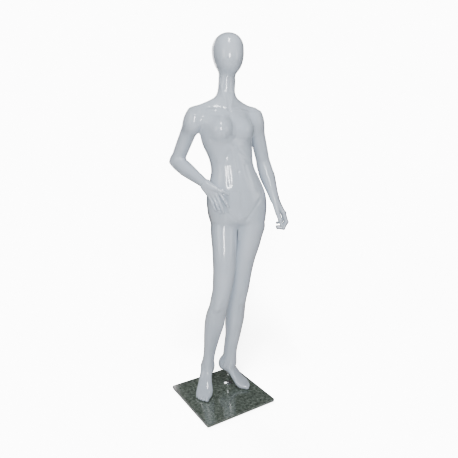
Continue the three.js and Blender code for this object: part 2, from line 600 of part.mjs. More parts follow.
// The two sides of a seam: the trunk side looks out along the normal, the limb side looks back.
function sideMatrix(seam, limb) {
  const matrix = stand(seam.centre, seam.normal);
  return limb ? matrix.multiply(new THREE.Matrix4().makeRotationX(Math.PI)) : matrix;
}
const place = (solid, matrix) => solid.transform(matrix.elements);

function plateSolid(name, inside, limb) {
  const size = SIZES[JOINTS[name]];
  const blank = fromGeometry(block(size.blank, size.blank, -PLATE_DEPTH - PLATE, -PLATE_DEPTH));
  const pocket = fromGeometry(cylinder(size.lug + 1, -40, 10, size.sides));
  const drilled = drillScrews(limb ? blank : blank.subtract(pocket), size, limb);
  return largest(place(drilled, sideMatrix(SEAMS[name], limb)).intersect(inside));
}
const fitting = (name, limb) => place(flangeSolid(JOINTS[name], limb), sideMatrix(SEAMS[name], limb));
function wristRecess(name, limb) {
  const size = SIZES.small;
  const recess = fromGeometry(cylinder(size.flange + FIT_GAP, -PLATE_DEPTH, 2, size.sides));
  const pocket = fromGeometry(cylinder(size.lug + 1, -12, 2, size.sides));
  return place(limb ? recess : recess.add(pocket), sideMatrix(SEAMS[name], limb));
}

// ---- Hands -----------------------------------------------------------------------------------------------
// Each digit runs through its joints to its tip.
const HANDS = {
  right: {
    thumbward: vec(0.84, -0.385, 0.385),
    thumb: [vec(-56, -58, 1110), vec(-22, -68, 1100), vec(8, -70, 1090), vec(34, -64, 1076)],
    fingers: [
      [vec(-6, -62, 1082), vec(14, -66, 1050), vec(25, -65, 1031), vec(34, -61, 1015)],
      [vec(-22, -59, 1070), vec(-4, -65, 1029), vec(5, -64, 1006), vec(11, -59, 988)],
      [vec(-38, -52, 1063), vec(-20, -60, 1024), vec(-11, -60, 1003), vec(-5, -56, 987)],
      [vec(-54, -42, 1060), vec(-40, -52, 1027), vec(-32, -53, 1009), vec(-26, -50, 995)]],
  },
  left: {
    thumbward: vec(-0.35, -0.93, 0.02),
    thumb: [vec(274, 16, 1012), vec(282, 2, 976), vec(293, -3, 942), vec(303, -1, 914)],
    fingers: [
      [vec(311, 16, 977), vec(326, 13, 933), vec(313, 13, 902), vec(285, 15, 903)],
      [vec(316, 36, 972), vec(331, 35, 926), vec(316, 36, 894), vec(286, 38, 896)],
      [vec(314, 55, 972), vec(328, 56, 929), vec(314, 57, 898), vec(285, 57, 899)],
      [vec(309, 71, 977), vec(320, 75, 943), vec(309, 77, 918), vec(287, 76, 916)]],
  },
};
const FINGER_RADII = [[9.5, 8, 7.2, 6], [9.8, 8.2, 7.4, 6.2], [9.3, 7.8, 7, 5.9], [8.2, 6.8, 6.2, 5.2]];
const THUMB_RADII = [13.5, 10.5, 9, 7];

function digit(joints, radii, thumbward) {
  const bones = joints.slice(1).map((to, i) => roundCone(joints[i], to, radii[i], radii[i + 1]));
  const heading = (i) => joints[Math.min(i + 1, 3)].clone().sub(joints[Math.max(i - 1, 0)]).normalize();
  const rings = joints.map((centre, i) => ({ centre, axis: heading(i), side: thumbward }));
  const tip = heading(3);
  rings.push({ centre: along(joints[3], tip, radii[3] * 0.7), axis: tip });
  return skin(blend(3, ...bones), rings, SIDES.digit, REACH.digit);
}
function hand(side) {
  const seam = SEAMS[`${side}_wrist`];
  const { thumbward, thumb, fingers } = HANDS[side];
  const wristAt = (shift) => along(seam.centre, thumbward, shift);
  const roots = fingers.map(([root], i) => roundCone(wristAt(10.5 - 7 * i), root, 17, FINGER_RADII[i][0]));
  const ball = roundCone(wristAt(10), thumb[1], 15, THUMB_RADII[1] - 1);
  const volume = blend(9, ...roots, ball);
  const forward = fingers[1][0].clone().add(fingers[2][0]).multiplyScalar(0.5).sub(seam.centre);
  const reachOut = forward.length();
  forward.normalize();
  const rings = [{ centre: along(seam.centre, seam.normal, FACE), axis: seam.normal, side: thumbward }];
  for (const f of [0.25, 0.5, 0.75, 1, 1.07]) {
    rings.push({ centre: along(seam.centre, forward, f * reachOut), axis: forward, side: thumbward });
  }
  const palm = skin(volume, rings, SIDES.limb, REACH.hand);
  const withThumb = palm.add(digit(thumb, THUMB_RADII, thumbward));
  const digits = fingers.map((joints, i) => digit(joints, FINGER_RADII[i], thumbward));
  const whole = digits.reduce((all, one) => all.add(one), withThumb);
  return whole.subtract(wristRecess(`${side}_wrist`, true));
}

// ---- Base and rod ------------------------------------------------------------------------------------------
const CORNER = 6;
const BOLT_RADIUS = 4;
const BOLT_HOLE = BOLT_RADIUS + FIT_GAP;
const FLANGE_RADIUS = 22;
const BUMPER_RADIUS = 12;
const BUMPER_PLACE = 172;

function glassPlate() {
  const half = BASE_SIDE / 2;
  const outline = new THREE.Shape();
  [[1, -1, 0], [1, 1, 90], [-1, 1, 180], [-1, -1, 270]].forEach(([x, y, start]) => {
    const [from, to] = [radians(start - 90), radians(start)];
    outline.absarc(x * (half - CORNER), y * (half - CORNER), CORNER, from, to, false);
  });
  outline.closePath();
  const sheet = new THREE.ExtrudeGeometry(outline, { depth: GLASS, bevelEnabled: false, curveSegments: 4 });
  const spot = vec(ROD_X, ROD_Y, 0).applyAxisAngle(up, radians(STANCE_TURN));
  const hole = fromGeometry(cylinder(BOLT_HOLE, 0, 40, 16).translate(spot.x, spot.y, 0));
  return fromGeometry(sheet.translate(0, 0, BUMPER_HEIGHT)).subtract(hole);
}
const BUMPERS = {
  centre: [0, 0], left_rear: [1, 1], right_rear: [-1, 1], right_front: [-1, -1], left_front: [1, -1],
};
const bumper = ([x, y]) => cylinder(BUMPER_RADIUS - 2, 0, BUMPER_HEIGHT - FIT_GAP, 14, BUMPER_RADIUS)
  .translate(x * BUMPER_PLACE, y * BUMPER_PLACE, 0);

const rod = () => atRod(cylinder(ROD_RADIUS, 0.3, ROD_TOP, 20))
  .subtract(atRod(cylinder(BOLT_HOLE, -1, 22, 16)));
const rodFlange = () => atRod(cylinder(FLANGE_RADIUS, 0.3, 5, 24, FLANGE_RADIUS - 2))
  .subtract(atRod(cylinder(ROD_RADIUS + FIT_GAP, -1, 8, 20)));
const washer = () => atRod(cylinder(12, -GLASS - 1.8, -GLASS - 0.3, 20))
  .subtract(atRod(cylinder(BOLT_HOLE, -20, 0, 16)));
const bolt = () => atRod(cylinder(8, -GLASS - 5.2, -GLASS - 2.1, 6))
  .add(atRod(cylinder(BOLT_RADIUS, -GLASS - 3, 20, 16)));
const legSocket = () => atRod(cylinder(SOCKET_RADIUS, SOCKET_LOW, SOCKET_TOP, 16))
  .subtract(atRod(cylinder(ROD_RADIUS + 0.4, 0, SOCKET_TOP - 7, 16)));

// ---- Assembly ----------------------------------------------------------------------------------------------
const finish = (color, roughness, metalness) => new THREE.MeshStandardMaterial({ color, roughness, metalness });
const MATERIALS = {
  gelcoat: finish(0xe4e8ea, 0.12, 0),
  glass: finish(0x5c6460, 0.1, 0),
  chrome: finish(0xd8dadc, 0.08, 1),
  steel: finish(0x9a9c9e, 0.35, 1),
  board: finish(0xb39468, 0.7, 0),
  rubber: finish(0xd5d8d8, 0.5, 0),
};

function toGeometry(solid) {
  if (solid.isBufferGeometry) return solid;
  const { vertProperties, triVerts } = solid.getMesh();
  const geometry = new THREE.BufferGeometry();
  geometry.setAttribute('position', new THREE.BufferAttribute(vertProperties, 3));
  geometry.setIndex(new THREE.BufferAttribute(triVerts, 1));
  geometry.computeVertexNormals();
  return geometry;
}
function add(group, name, material, solid) {
  const mesh = new THREE.Mesh(toGeometry(solid), MATERIALS[material]);
  mesh.name = name;
  group.add(mesh);
}

const mannequin = new THREE.Group();
const figure = new THREE.Group();
figure.position.z = GLASS_TOP;
figure.rotation.z = radians(STANCE_TURN);
mannequin.add(figure);

add(mannequin, 'base_plate', 'glass', glassPlate());
for (const [name, spot] of Object.entries(BUMPERS)) add(mannequin, `${name}_bumper`, 'rubber', bumper(spot));
add(figure, 'rod_flange', 'chrome', rodFlange());
add(figure, 'support_rod', 'chrome', rod());
add(figure, 'rod_washer', 'steel', washer());
add(figure, 'rod_bolt', 'steel', bolt());
add(figure, 'leg_socket', 'steel', legSocket());

add(figure, 'head', 'gelcoat', headShell());
add(figure, 'torso', 'gelcoat', torsoShell());
add(figure, 'lower_body', 'gelcoat', lowerShell());
add(figure, 'right_leg', 'gelcoat', rightLegShell());
for (const side of ['right', 'left']) {
  add(figure, `${side}_arm`, 'gelcoat', armShell(side).subtract(wristRecess(`${side}_wrist`, false)));
  add(figure, `${side}_hand`, 'gelcoat', hand(side));
}

const torsoPlateInside = torsoInside(PLATE_INSET);
const PLATES = {
  neck: [torsoPlateInside, headInside(PLATE_INSET)],
  waist: [torsoPlateInside, lowerInside(PLATE_INSET)],
  right_shoulder: [torsoPlateInside, armInside('right', PLATE_INSET)],
  left_shoulder: [torsoPlateInside, armInside('left', PLATE_INSET)],
  right_thigh: [lowerInside(PLATE_INSET).intersect(rightHalf()), rightLegInside(PLATE_INSET)],
};
for (const [name, [trunkSide, limbSide]] of Object.entries(PLATES)) {
  add(figure, `${name}_plate_trunk_side`, 'board', plateSolid(name, trunkSide, false));
  add(figure, `${name}_plate_limb_side`, 'board', plateSolid(name, limbSide, true));
}
for (const name of Object.keys(JOINTS)) {
  add(figure, `${name}_socket`, 'steel', fitting(name, false));
  add(figure, `${name}_bayonet`, 'steel', fitting(name, true));
}
for (const name of Object.keys(PLATES)) {
  for (const limb of [false, true]) {
    screwPlaces(SIZES[JOINTS[name]], limb).forEach((spot, i) => {
      const shape = screwShape({ ...spot, top: spot.top - 0.05 }, 0);
      const screw = shape.applyMatrix4(sideMatrix(SEAMS[name], limb));
      add(figure, `${name}_${limb ? 'limb' : 'trunk'}_screw_${i + 1}`, 'steel', screw);
    });
  }
}

export default mannequin;
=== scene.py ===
import json
import math

import bmesh
import bpy
import numpy as np
from mathutils import Matrix, Vector


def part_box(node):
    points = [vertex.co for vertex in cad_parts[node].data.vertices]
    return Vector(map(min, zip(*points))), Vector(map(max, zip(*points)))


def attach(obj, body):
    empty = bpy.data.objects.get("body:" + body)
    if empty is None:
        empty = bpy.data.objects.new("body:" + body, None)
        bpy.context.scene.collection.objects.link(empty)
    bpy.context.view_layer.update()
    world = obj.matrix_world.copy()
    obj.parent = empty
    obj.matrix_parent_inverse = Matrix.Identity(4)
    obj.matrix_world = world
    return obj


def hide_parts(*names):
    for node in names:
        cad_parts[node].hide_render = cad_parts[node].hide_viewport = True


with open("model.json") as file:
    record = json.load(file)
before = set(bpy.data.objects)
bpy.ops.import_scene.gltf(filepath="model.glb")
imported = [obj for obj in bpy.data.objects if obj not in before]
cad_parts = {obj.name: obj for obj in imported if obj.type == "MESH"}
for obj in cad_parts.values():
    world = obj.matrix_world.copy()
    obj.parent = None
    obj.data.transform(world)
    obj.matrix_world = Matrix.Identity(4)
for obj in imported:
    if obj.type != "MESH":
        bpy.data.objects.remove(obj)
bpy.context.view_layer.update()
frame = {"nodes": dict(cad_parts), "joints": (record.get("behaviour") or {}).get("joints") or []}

# Full body display mannequin on a square glass base. The body is worked out in millimetres in the figure's
# own frame (x to its left, y to its back, z from the glass), and each piece is then put in the row frame.
MM = 0.001
STANCE_TURN = math.radians(-32.44)
GLASS_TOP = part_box("base_plate")[1][2] / MM
SEAM_GAP = 0.2
SKIN_STEP = 3.5
HAND_STEP = 1.6
CHUNK = 150000

ON_GLASS = Matrix.Translation((0, 0, GLASS_TOP * MM))
TO_ROW = ON_GLASS @ Matrix.Rotation(STANCE_TURN, 4, "Z") @ Matrix.Scale(MM, 4)
JOINTS = {joint["name"]: joint for joint in frame["joints"]}


# ---- Small maths ------------------------------------------------------------------------------------
def unit(vector):
    vector = np.asarray(vector, float)
    return vector / np.linalg.norm(vector)


def dot(points, vector):
    return points @ np.asarray(vector, float)


def smooth_min(a, b, k):
    h = np.clip(k - np.abs(a - b), 0, None)
    return np.minimum(a, b) - h * h / (4 * k)


def smooth_max(a, b, k):
    return -smooth_min(-a, -b, k)


def spline(knots, rows):
    """Natural cubic spline through rows of values, for an array of positions."""
    x, y = np.asarray(knots, float), np.asarray(rows, float)
    step = np.diff(x)
    bends = np.zeros_like(y)
    if len(x) > 2:
        system = np.diag(2 * (step[:-1] + step[1:]))
        system += np.diag(step[1:-1], 1) + np.diag(step[1:-1], -1)
        slopes = np.diff(y, axis=0) / step[:, None]
        bends[1:-1] = np.linalg.solve(system, 6 * np.diff(slopes, axis=0))

    def at(t):
        t = np.clip(t, x[0], x[-1])
        i = np.clip(np.searchsorted(x, t, side="right") - 1, 0, len(x) - 2)
        span = step[i][..., None]
        u = (t - x[i])[..., None] / span
        w = 1 - u
        curve = (w**3 - w) * bends[i] + (u**3 - u) * bends[i + 1]
        return w * y[i] + u * y[i + 1] + span**2 / 6 * curve
    return at


# ---- Soft volumes: each takes an array of points and gives signed distances, below zero inside --------
def loft(stations, origin=(0, 0, 0), axis=(0, 0, 1), side=(1, 0, 0), power=2.1, cap=8.0):
    """Tube of oval sections: place on the axis, side and back shift, half width, front and back depth, turn."""
    table = np.array([[*row, 0.0][:7] for row in stations], float)
    at = spline(table[:, 0], table[:, 1:])
    start = np.array(origin, float)
    w = unit(axis)
    u = unit(np.array(side, float) - w * (np.array(side, float) @ w))
    v = np.cross(w, u)

    def volume(p):
        q = p - start
        s = q @ w
        shift_u, shift_v, wide, front, back, turn = np.moveaxis(at(s), -1, 0)
        dx, dy = q @ u - shift_u, q @ v - shift_v
        cos, sin = np.cos(np.radians(turn)), np.sin(np.radians(turn))
        x, y = cos * dx + sin * dy, cos * dy - sin * dx
        mean = (front + back) / 2
        deep = mean + (back - front) / 2 * y / np.sqrt(y * y + (0.35 * mean) ** 2)
        g = ((np.abs(x) / wide) ** power + (np.abs(y) / deep) ** power + 1e-12) ** (1 / power)
        ends = np.maximum(table[0, 0] - s, s - table[-1, 0])
        return smooth_max(np.sqrt(x * x + y * y) * (1 - 1 / g), ends, cap)
    return volume


def bone(start, end, side, stations):
    """Loft along a bone: the fraction of its length, half width, front and back depth."""
    span = np.array(end, float) - np.array(start, float)
    length = np.linalg.norm(span)
    return loft([(f * length, 0, 0, *sizes) for f, *sizes in stations], start, span, side)


def ellipsoid(centre, radii, turn, lean=0.0):
    axes = np.array(Matrix.Rotation(math.radians(turn), 3, "Z") @ Matrix.Rotation(math.radians(lean), 3, "Y"))
    middle, radii = np.array(centre, float), np.array(radii, float)

    def volume(p):
        q = (p - middle) @ axes / radii
        k0 = np.linalg.norm(q, axis=-1)
        return k0 * (k0 - 1) / (np.linalg.norm(q / radii, axis=-1) + 1e-9)
    return volume


def along_segment(p, start, end):
    """Distance to a segment, and how far along it the nearest place is, from 0 to 1."""
    start, span = np.array(start, float), np.array(end, float) - np.array(start, float)
    t = np.clip(((p - start) @ span) / max(span @ span, 1e-9), 0, 1)
    return np.linalg.norm(p - start - t[..., None] * span, axis=-1), t


def round_cone(start, end, start_radius, end_radius):
    def volume(p):
        away, t = along_segment(p, start, end)
        return away - start_radius - (end_radius - start_radius) * t
    return volume


def blended(k, *volumes):
    def volume(p):
        total = volumes[0](p)
        for other in volumes[1:]:
            total = smooth_min(total, other(p), k)
        return total
    return volume


def union(*volumes):
    return lambda p: np.minimum.reduce([volume(p) for volume in volumes])


def sculpted(volume, strokes):
    """Raises (height above 0) or sinks the skin along each stroke: start, end, radius, height."""
    def shaped(p):
        total = np.array(volume(p))
        flat, out = p.reshape(-1, 3), total.reshape(-1)
        for start, end, radius, height in strokes:
            middle = (np.array(start) + np.array(end)) / 2
            limit = np.linalg.norm(np.array(end) - np.array(start)) / 2 + 2.6 * radius
            near = np.flatnonzero(((flat - middle) ** 2).sum(1) < limit * limit)
            if len(near):
                away, _ = along_segment(flat[near], start, end)
                out[near] -= height * np.exp(-((away / radius) ** 2))
        return out.reshape(total.shape)
    return shaped


def section_frame(x, y, turn):
    """Places given across and behind a turned body section."""
    cos, sin = math.cos(math.radians(turn)), math.sin(math.radians(turn))

    def place(across, behind, z):
        return np.array((x + cos * across - sin * behind, y + sin * across + cos * behind, z))
    return place


def on_skin(volume, inside, outside):
    """The place where the way from inside to outside leaves the volume."""
    inside, outside = np.array(inside, float), np.array(outside, float)
    for _ in range(18):
        middle = (inside + outside) / 2
        if volume(middle[None])[0] < 0:
            inside = middle
        else:
            outside = middle
    return inside


# ---- Seams: where the body comes apart, from the joints. The normal points away from the trunk --------
def seam(joint_name, sign=1):
    joint = JOINTS[joint_name]
    centre = TO_ROW.inverted() @ Vector(joint["pos_m"])
    turned = Matrix.Rotation(-STANCE_TURN, 3, "Z") @ Vector(joint["axis"])
    return np.array(centre), unit(turned) * sign


SEAMS = {
    "neck": seam("head_turn"),
    "waist": seam("torso_twist", -1),
    "right_shoulder": seam("right_arm_swing"),
    "left_shoulder": seam("left_arm_swing", -1),
    "right_thigh": seam("right_leg_twist"),
    "right_wrist": seam("right_hand_twist"),
    "left_wrist": seam("left_hand_twist"),
}

# ---- The body -----------------------------------------------------------------------------------------
CHEST_TURN, BUST_TURN, PELVIS_TURN = 20, 31, 12
chest = section_frame(20, 46, CHEST_TURN)
bust = section_frame(20, 46, BUST_TURN)
pelvis = section_frame(80, 50, PELVIS_TURN)

# Rows: height, centre x, centre y, half width, front depth, back depth, turn.
trunk = loft([
    (898, 85, 50, 40, 30, 36, 12), (920, 84, 50, 112, 62, 76, 12), (945, 83, 50, 139, 82, 98, 12),
    (980, 80, 50, 149, 90, 106, 12), (1020, 77, 50, 152, 94, 104, 12), (1060, 75, 50, 149, 95, 96, 12),
    (1100, 72, 49, 139, 94, 84, 13), (1140, 67, 48, 125, 92, 75, 14), (1180, 60, 47, 113, 88, 71, 16),
    (1220, 51, 46, 108, 85, 73, 18), (1260, 43, 46, 113, 86, 79, 20), (1300, 33, 46, 123, 90, 87, 23),
    (1340, 26, 46, 129, 94, 95, 26), (1380, 21, 46, 131, 95, 98, 26), (1420, 18, 47, 136, 88, 98, 24),
    (1455, 19, 50, 126, 70, 88, 20), (1485, 20, 55, 96, 50, 66, 20), (1510, 22, 57, 60, 40, 50, 20)],
    power=2.3, cap=30)
neck = bone((20, 62, 1480), (30, 42, 1680), (0.94, 0.34, 0),
            [(0, 58, 52, 56), (0.25, 46, 45, 50), (0.5, 41, 43, 45), (0.75, 40, 43, 43), (1, 40, 42, 42)])
shoulder_line = blended(20, round_cone((21, 66, 1512), (-116, 18, 1466), 42, 28),
                        round_cone((21, 66, 1512), (148, 102, 1466), 42, 28))

HEAD_CENTRE = np.array((31, 42, 1750.0))
HEAD_UP, HEAD_DOWN, HEAD_WIDE, HEAD_DEEP, HEAD_LEAN, HEAD_POWER = 77, 116, 73, 93, 0.16, 2.15


def head_egg(p):
    """Blunt above its widest level, longer below, and leaning forward toward the chin."""
    q = p - HEAD_CENTRE
    z = q[..., 2]
    tall = np.where(z > 0, HEAD_UP, HEAD_DOWN)
    cos, sin = math.cos(math.radians(CHEST_TURN)), math.sin(math.radians(CHEST_TURN))
    x = cos * q[..., 0] + sin * q[..., 1]
    y = cos * q[..., 1] - sin * q[..., 0] - HEAD_LEAN * np.minimum(z, 0)
    parts = np.abs(x / HEAD_WIDE) ** HEAD_POWER + np.abs(y / HEAD_DEEP) ** HEAD_POWER
    k0 = (parts + np.abs(z / tall) ** HEAD_POWER + 1e-12) ** (1 / HEAD_POWER)
    slope = np.sqrt((x / HEAD_WIDE**2) ** 2 + (y / HEAD_DEEP**2) ** 2 + (z / tall**2) ** 2)
    return k0 * (k0 - 1) / (slope + 1e-9)


breasts = union(*[ellipsoid(bust(x, -66, 1378), (52, 50, 54), BUST_TURN) for x in (-60, 60)])
seat = union(*[ellipsoid(pelvis(x, 56, 970), (74, 70, 84), PELVIS_TURN) for x in (-66, 66)])

right_leg_column = loft([
    (84, -79, 70, 26, 30, 38, 5), (110, -79, 68, 30, 38, 43, 5), (145, -77, 66, 31, 38, 42, 5),
    (180, -72, 62, 30, 34, 39, 6), (220, -66, 55, 32, 33, 39, 7), (260, -60, 46, 36, 34, 43, 8),
    (300, -54, 37, 41, 37, 49, 8), (340, -47, 28, 46, 40, 56, 8), (380, -40, 18, 50.5, 42, 60, 8),
    (420, -34, 8, 51, 43, 60, 8), (460, -26, -3, 49.5, 45, 55, 8), (500, -15, -12, 47, 50, 51, 8),
    (540, -6, -17, 48, 53, 50, 8), (580, 3, -17, 49, 55, 51, 8), (620, 8, -15, 52, 57, 54, 8),
    (680, 14, -12, 56, 61, 58, 8), (740, 15, -4, 59, 64, 62, 8), (800, 15, 10, 62, 67, 67, 9),
    (860, 13, 28, 66, 69, 73, 10), (900, 14, 40, 68, 70, 78, 11), (950, 22, 46, 66, 66, 80, 12),
    (1040, 44, 50, 40, 40, 50, 12)], cap=24)
left_leg_column = loft([
    (84, 34, 99, 26, 30, 38, 66), (110, 38, 98, 29, 38, 43, 66), (145, 41, 97, 30, 38, 43, 64),
    (180, 44, 96, 29.5, 35, 39, 62), (220, 49, 94, 32, 34, 39, 60), (260, 56, 91, 36, 35, 42, 58),
    (300, 63, 88, 40, 36, 45, 56), (340, 67, 84, 45, 39, 50, 54), (380, 71, 80, 49, 42, 55, 52),
    (420, 74, 77, 50, 43, 56, 50), (460, 76, 72, 49.5, 45, 54, 48), (500, 79, 67, 48.5, 49, 52, 46),
    (540, 85, 64, 49.5, 53, 50, 44), (580, 91, 66, 51, 55, 51, 42), (620, 96, 68, 53, 56, 54, 38),
    (680, 103, 71, 58, 60, 59, 33), (740, 115, 72, 61, 64, 64, 28), (800, 131, 69, 64, 67, 70, 24),
    (860, 144, 64, 66, 70, 75, 20), (900, 152, 58, 68, 71, 79, 18), (950, 145, 56, 66, 68, 80, 16),
    (1040, 124, 57, 40, 40, 50, 14)], cap=24)

FOOT_LENGTH = 210
FEET = {"right": ((-74, 120, 0), (-100, -92, 0), 1), "left": ((-15, 128, 0), (154, 46, 0), -1)}
# Toes: distance from the heel, shift to the big toe and height, at the root and the tip, and the two radii.
TOES = [(160, 27, 15, 201, 22, 10, 14, 10.5), (160, 8, 14, 199, 3, 9, 10, 8),
        (158, -7, 13, 193, -11, 8.5, 9.5, 7.5), (154, -21, 12, 185, -23, 8, 9, 7),
        (150, -33, 11, 174, -34, 7.5, 8.5, 7)]


def foot_places(name):
    heel, toe, big_toe = FEET[name]
    heel, span = np.array(heel, float), np.array(toe, float) - np.array(heel, float)
    k = np.linalg.norm(span) / FOOT_LENGTH
    axis = unit(span)
    side = np.cross((0, 0, 1), axis)
    return heel, axis, side, k, lambda s, shift, z: heel + axis * s * k + side * shift * big_toe + (0, 0, z)


def foot(name):
    """Foot standing on its ball with the heel raised, with its nails."""
    heel, axis, side, k, at = foot_places(name)
    big_toe = FEET[name][2]
    # Rows: distance from the heel, shift to the big toe, height, half width, depth below and above.
    rows = [(0, 0, 112, 15, 13, 12), (10, 0, 112, 26, 24, 28), (32, 0, 110, 32, 31, 40),
            (62, -2, 103, 30, 36, 38), (92, -3, 73, 33, 32, 32), (118, -2, 45, 38, 28, 27),
            (140, 0, 27, 43, 24, 23), (160, 0, 18, 43, 18, 18), (176, 1, 14, 38, 14, 14),
            (186, 2, 12, 30, 10, 10)]
    sole = loft([(s * k, shift * big_toe, *rest) for s, shift, *rest in rows], heel, axis, side, power=2.3)
    toes = [round_cone(at(s0, t0, z0), at(s1, t1, z1), r0, r1) for s0, t0, z0, s1, t1, z1, r0, r1 in TOES]
    strokes = []
    for s0, t0, z0, s1, t1, z1, r0, r1 in TOES:
        tip = at(s1, t1, z1 + r1)
        strokes.append((tip - axis * 0.7 * r1, tip + axis * 0.2 * r1, 0.5 * r1, 0.9))
        strokes.append((tip - axis * 1.5 * r1, tip - axis * 1.5 * r1, 0.5 * r1, -0.7))
    return sculpted(blended(6, sole, *toes), strokes)


ARMS = {
    "right": {"shoulder": (-125, 5, 1450), "elbow": (-232, 112, 1228), "wrist": (-79, -47, 1124),
              "armpit_drop": 50},
    "left": {"shoulder": (160, 100, 1454), "elbow": (221, 150, 1207), "wrist": (268, 38, 1045),
             "armpit_drop": 78},
}
ARM_SIDE = (1, 0.3, 0)
DELTOIDS = {
    "right": ellipsoid((-131, 4, 1418), (44, 50, 62), CHEST_TURN, 16),
    "left": ellipsoid((163, 103, 1428), (44, 50, 64), CHEST_TURN, -12),
}


def upper_arm(side):
    return bone(ARMS[side]["shoulder"], ARMS[side]["elbow"], ARM_SIDE,
                [(-0.05, 38, 40, 42), (0.1, 42, 44, 46), (0.3, 39.5, 41, 43), (0.6, 37, 37, 39),
                 (0.85, 35, 34, 36), (1.05, 32, 32, 34)])


def fore_arm(side):
    return bone(ARMS[side]["elbow"], ARMS[side]["wrist"], ARM_SIDE,
                [(-0.08, 30, 31, 32), (0.1, 36, 36, 38), (0.28, 38, 36, 38), (0.5, 34, 32, 34),
                 (0.75, 27, 26, 27), (0.95, 24, 20, 21), (1.06, 24, 19, 20)])


def armpit(side):
    """The armpit, on the shoulder's seam, and the direction down the upper arm."""
    shoulder, elbow = (np.array(ARMS[side][name], float) for name in ("shoulder", "elbow"))
    direction = unit(elbow - shoulder)
    return SEAMS[side + "_shoulder"][0] + direction * ARMS[side]["armpit_drop"], direction


def above(volume, height):
    """The part of a volume over a height, with a soft edge."""
    return lambda p: smooth_max(volume(p), height - p[..., 2], 14)


def torso_core(p):
    body = smooth_min(trunk(p), shoulder_line(p), 36)
    body = smooth_min(body, neck(p), 30)
    return smooth_min(body, breasts(p), 30)


BELLY_TURN = 15
BELLY_LINE = spline([1100, 1180, 1260, 1340], [(70, 49), (60, 47), (43, 46), (26, 46)])


def chest_strokes():
    """Collar bones, breast bone, ribs, belly line, navel, neck cords, spine and shoulder blades."""
    def front(across, z):
        return on_skin(torso_core, chest(across, 0, z), chest(across, -190, z))

    def belly(across, z):
        middle = section_frame(*BELLY_LINE(np.array(z))[:2], BELLY_TURN)
        return on_skin(torso_core, middle(across, 0, z), middle(across, -190, z))

    def back(across, z):
        return on_skin(torso_core, chest(across, 0, z), chest(across, 190, z))

    strokes = [(front(0, 1442), front(0, 1362), 11, -3.2), (front(0, 1474), front(0, 1474), 9, -5.0)]
    strokes += [(belly(0, 1300), belly(0, 1205), 8, -2.4), (belly(0, 1166), belly(0, 1120), 7, -1.0),
                (belly(0, 1180), belly(0, 1180), 6, -6.0)]
    for sign in (-1, 1):
        strokes += [
            (front(14 * sign, 1468), front(62 * sign, 1474), 7, 4.2),
            (front(62 * sign, 1474), front(100 * sign, 1470), 8, 3.4),
            (front(40 * sign, 1488), front(84 * sign, 1484), 11, -3.6),
            (front(60 * sign, 1446), front(96 * sign, 1448), 12, -2.2),
            (front(20 * sign, 1342), front(96 * sign, 1330), 10, -2.2),
            (belly(26 * sign, 1296), belly(82 * sign, 1240), 12, 2.6),
            (belly(30 * sign, 1270), belly(72 * sign, 1222), 11, -1.6),
            (belly(46 * sign, 1210), belly(52 * sign, 1120), 12, -1.8),
            (back(34 * sign, 1400), back(58 * sign, 1320), 26, 4.0),
            (back(16 * sign, 1300), back(20 * sign, 1130), 14, 2.6),
            (back(66 * sign, 1440), back(88 * sign, 1424), 16, 2.4),
        ]
        cord_top = on_skin(neck, (30, 43, 1625), chest(44 * sign, -6, 1625))
        strokes.append((cord_top, front(9 * sign, 1478), 8, 3.0))
    strokes.append((back(0, 1470), back(0, 1110), 10, -5.0))
    return strokes


def torso_volume():
    pieces = [torso_core]
    for side in ("right", "left"):
        pieces += [DELTOIDS[side], above(upper_arm(side), armpit(side)[0][2])]
    return sculpted(blended(14, blended(26, *pieces), head_egg), chest_strokes())


def hip_strokes():
    """Hip bones, groin folds, seat cleft, the folds under the seat and the small of the back."""
    body = blended(26, trunk, seat)

    def front(across, z):
        return on_skin(body, pelvis(across, 0, z), pelvis(across, -190, z))

    def back(across, z):
        return on_skin(body, pelvis(across, 0, z), pelvis(across, 190, z))

    strokes = [(front(0, 1086), front(0, 1010), 9, -1.2), (back(0, 1030), back(0, 925), 9, -13.0),
               (front(0, 960), front(0, 930), 18, 5.0)]
    for sign in (-1, 1):
        strokes += [
            (front(96 * sign, 1042), front(26 * sign, 944), 8, -3.4),
            (front(98 * sign, 1066), front(112 * sign, 1046), 16, 3.0),
            (back(44 * sign, 1066), back(44 * sign, 1066), 11, -2.6),
            (pelvis(96 * sign, 112, 905), pelvis(34 * sign, 122, 896), 9, -4.0),
        ]
    return strokes


KNEE_HEIGHT = 505


def knee_strokes(column, centre, forward, z):
    """Knee cap, the hollows round it, the back of the knee and the shin."""
    forward = unit(forward)
    side = np.cross(forward, (0, 0, 1))

    def skin(sideways, height, direction=forward):
        start = np.array((*centre(np.array(height)), height)) + side * sideways
        return on_skin(column, start, start + direction * 150)

    shin_low, shin_high = skin(0, z - 260), skin(0, z - 90)
    return [
        (skin(0, z + 18), skin(0, z - 8), 17, 3.4),
        (skin(-19, z - 28), skin(-17, z - 40), 9, -2.6),
        (skin(19, z - 28), skin(17, z - 40), 9, -2.6),
        (skin(-26, z + 30), skin(-26, z + 10), 10, -2.2),
        (skin(26, z + 30), skin(26, z + 10), 10, -2.2),
        (skin(0, z - 52), skin(0, z - 66), 10, 2.0),
        (shin_low, shin_high, 9, 1.4),
        (skin(-12, z + 6, -forward), skin(12, z + 6, -forward), 20, -2.4),
    ]


def ankle_strokes(name, ankle):
    _, axis, side, _, at = foot_places(name)
    ankle = np.array(ankle, float)
    strokes = []
    for sign in (-1, 1):
        bump = ankle + side * 31 * sign + axis * 4
        strokes.append((bump, bump, 9, 4.0))
        low = ankle + side * 20 * sign - axis * 26
        high = ankle + side * 16 * sign - axis * 26 + (0, 0, 50)
        strokes.append((low, high, 10, -3.0))
    return strokes


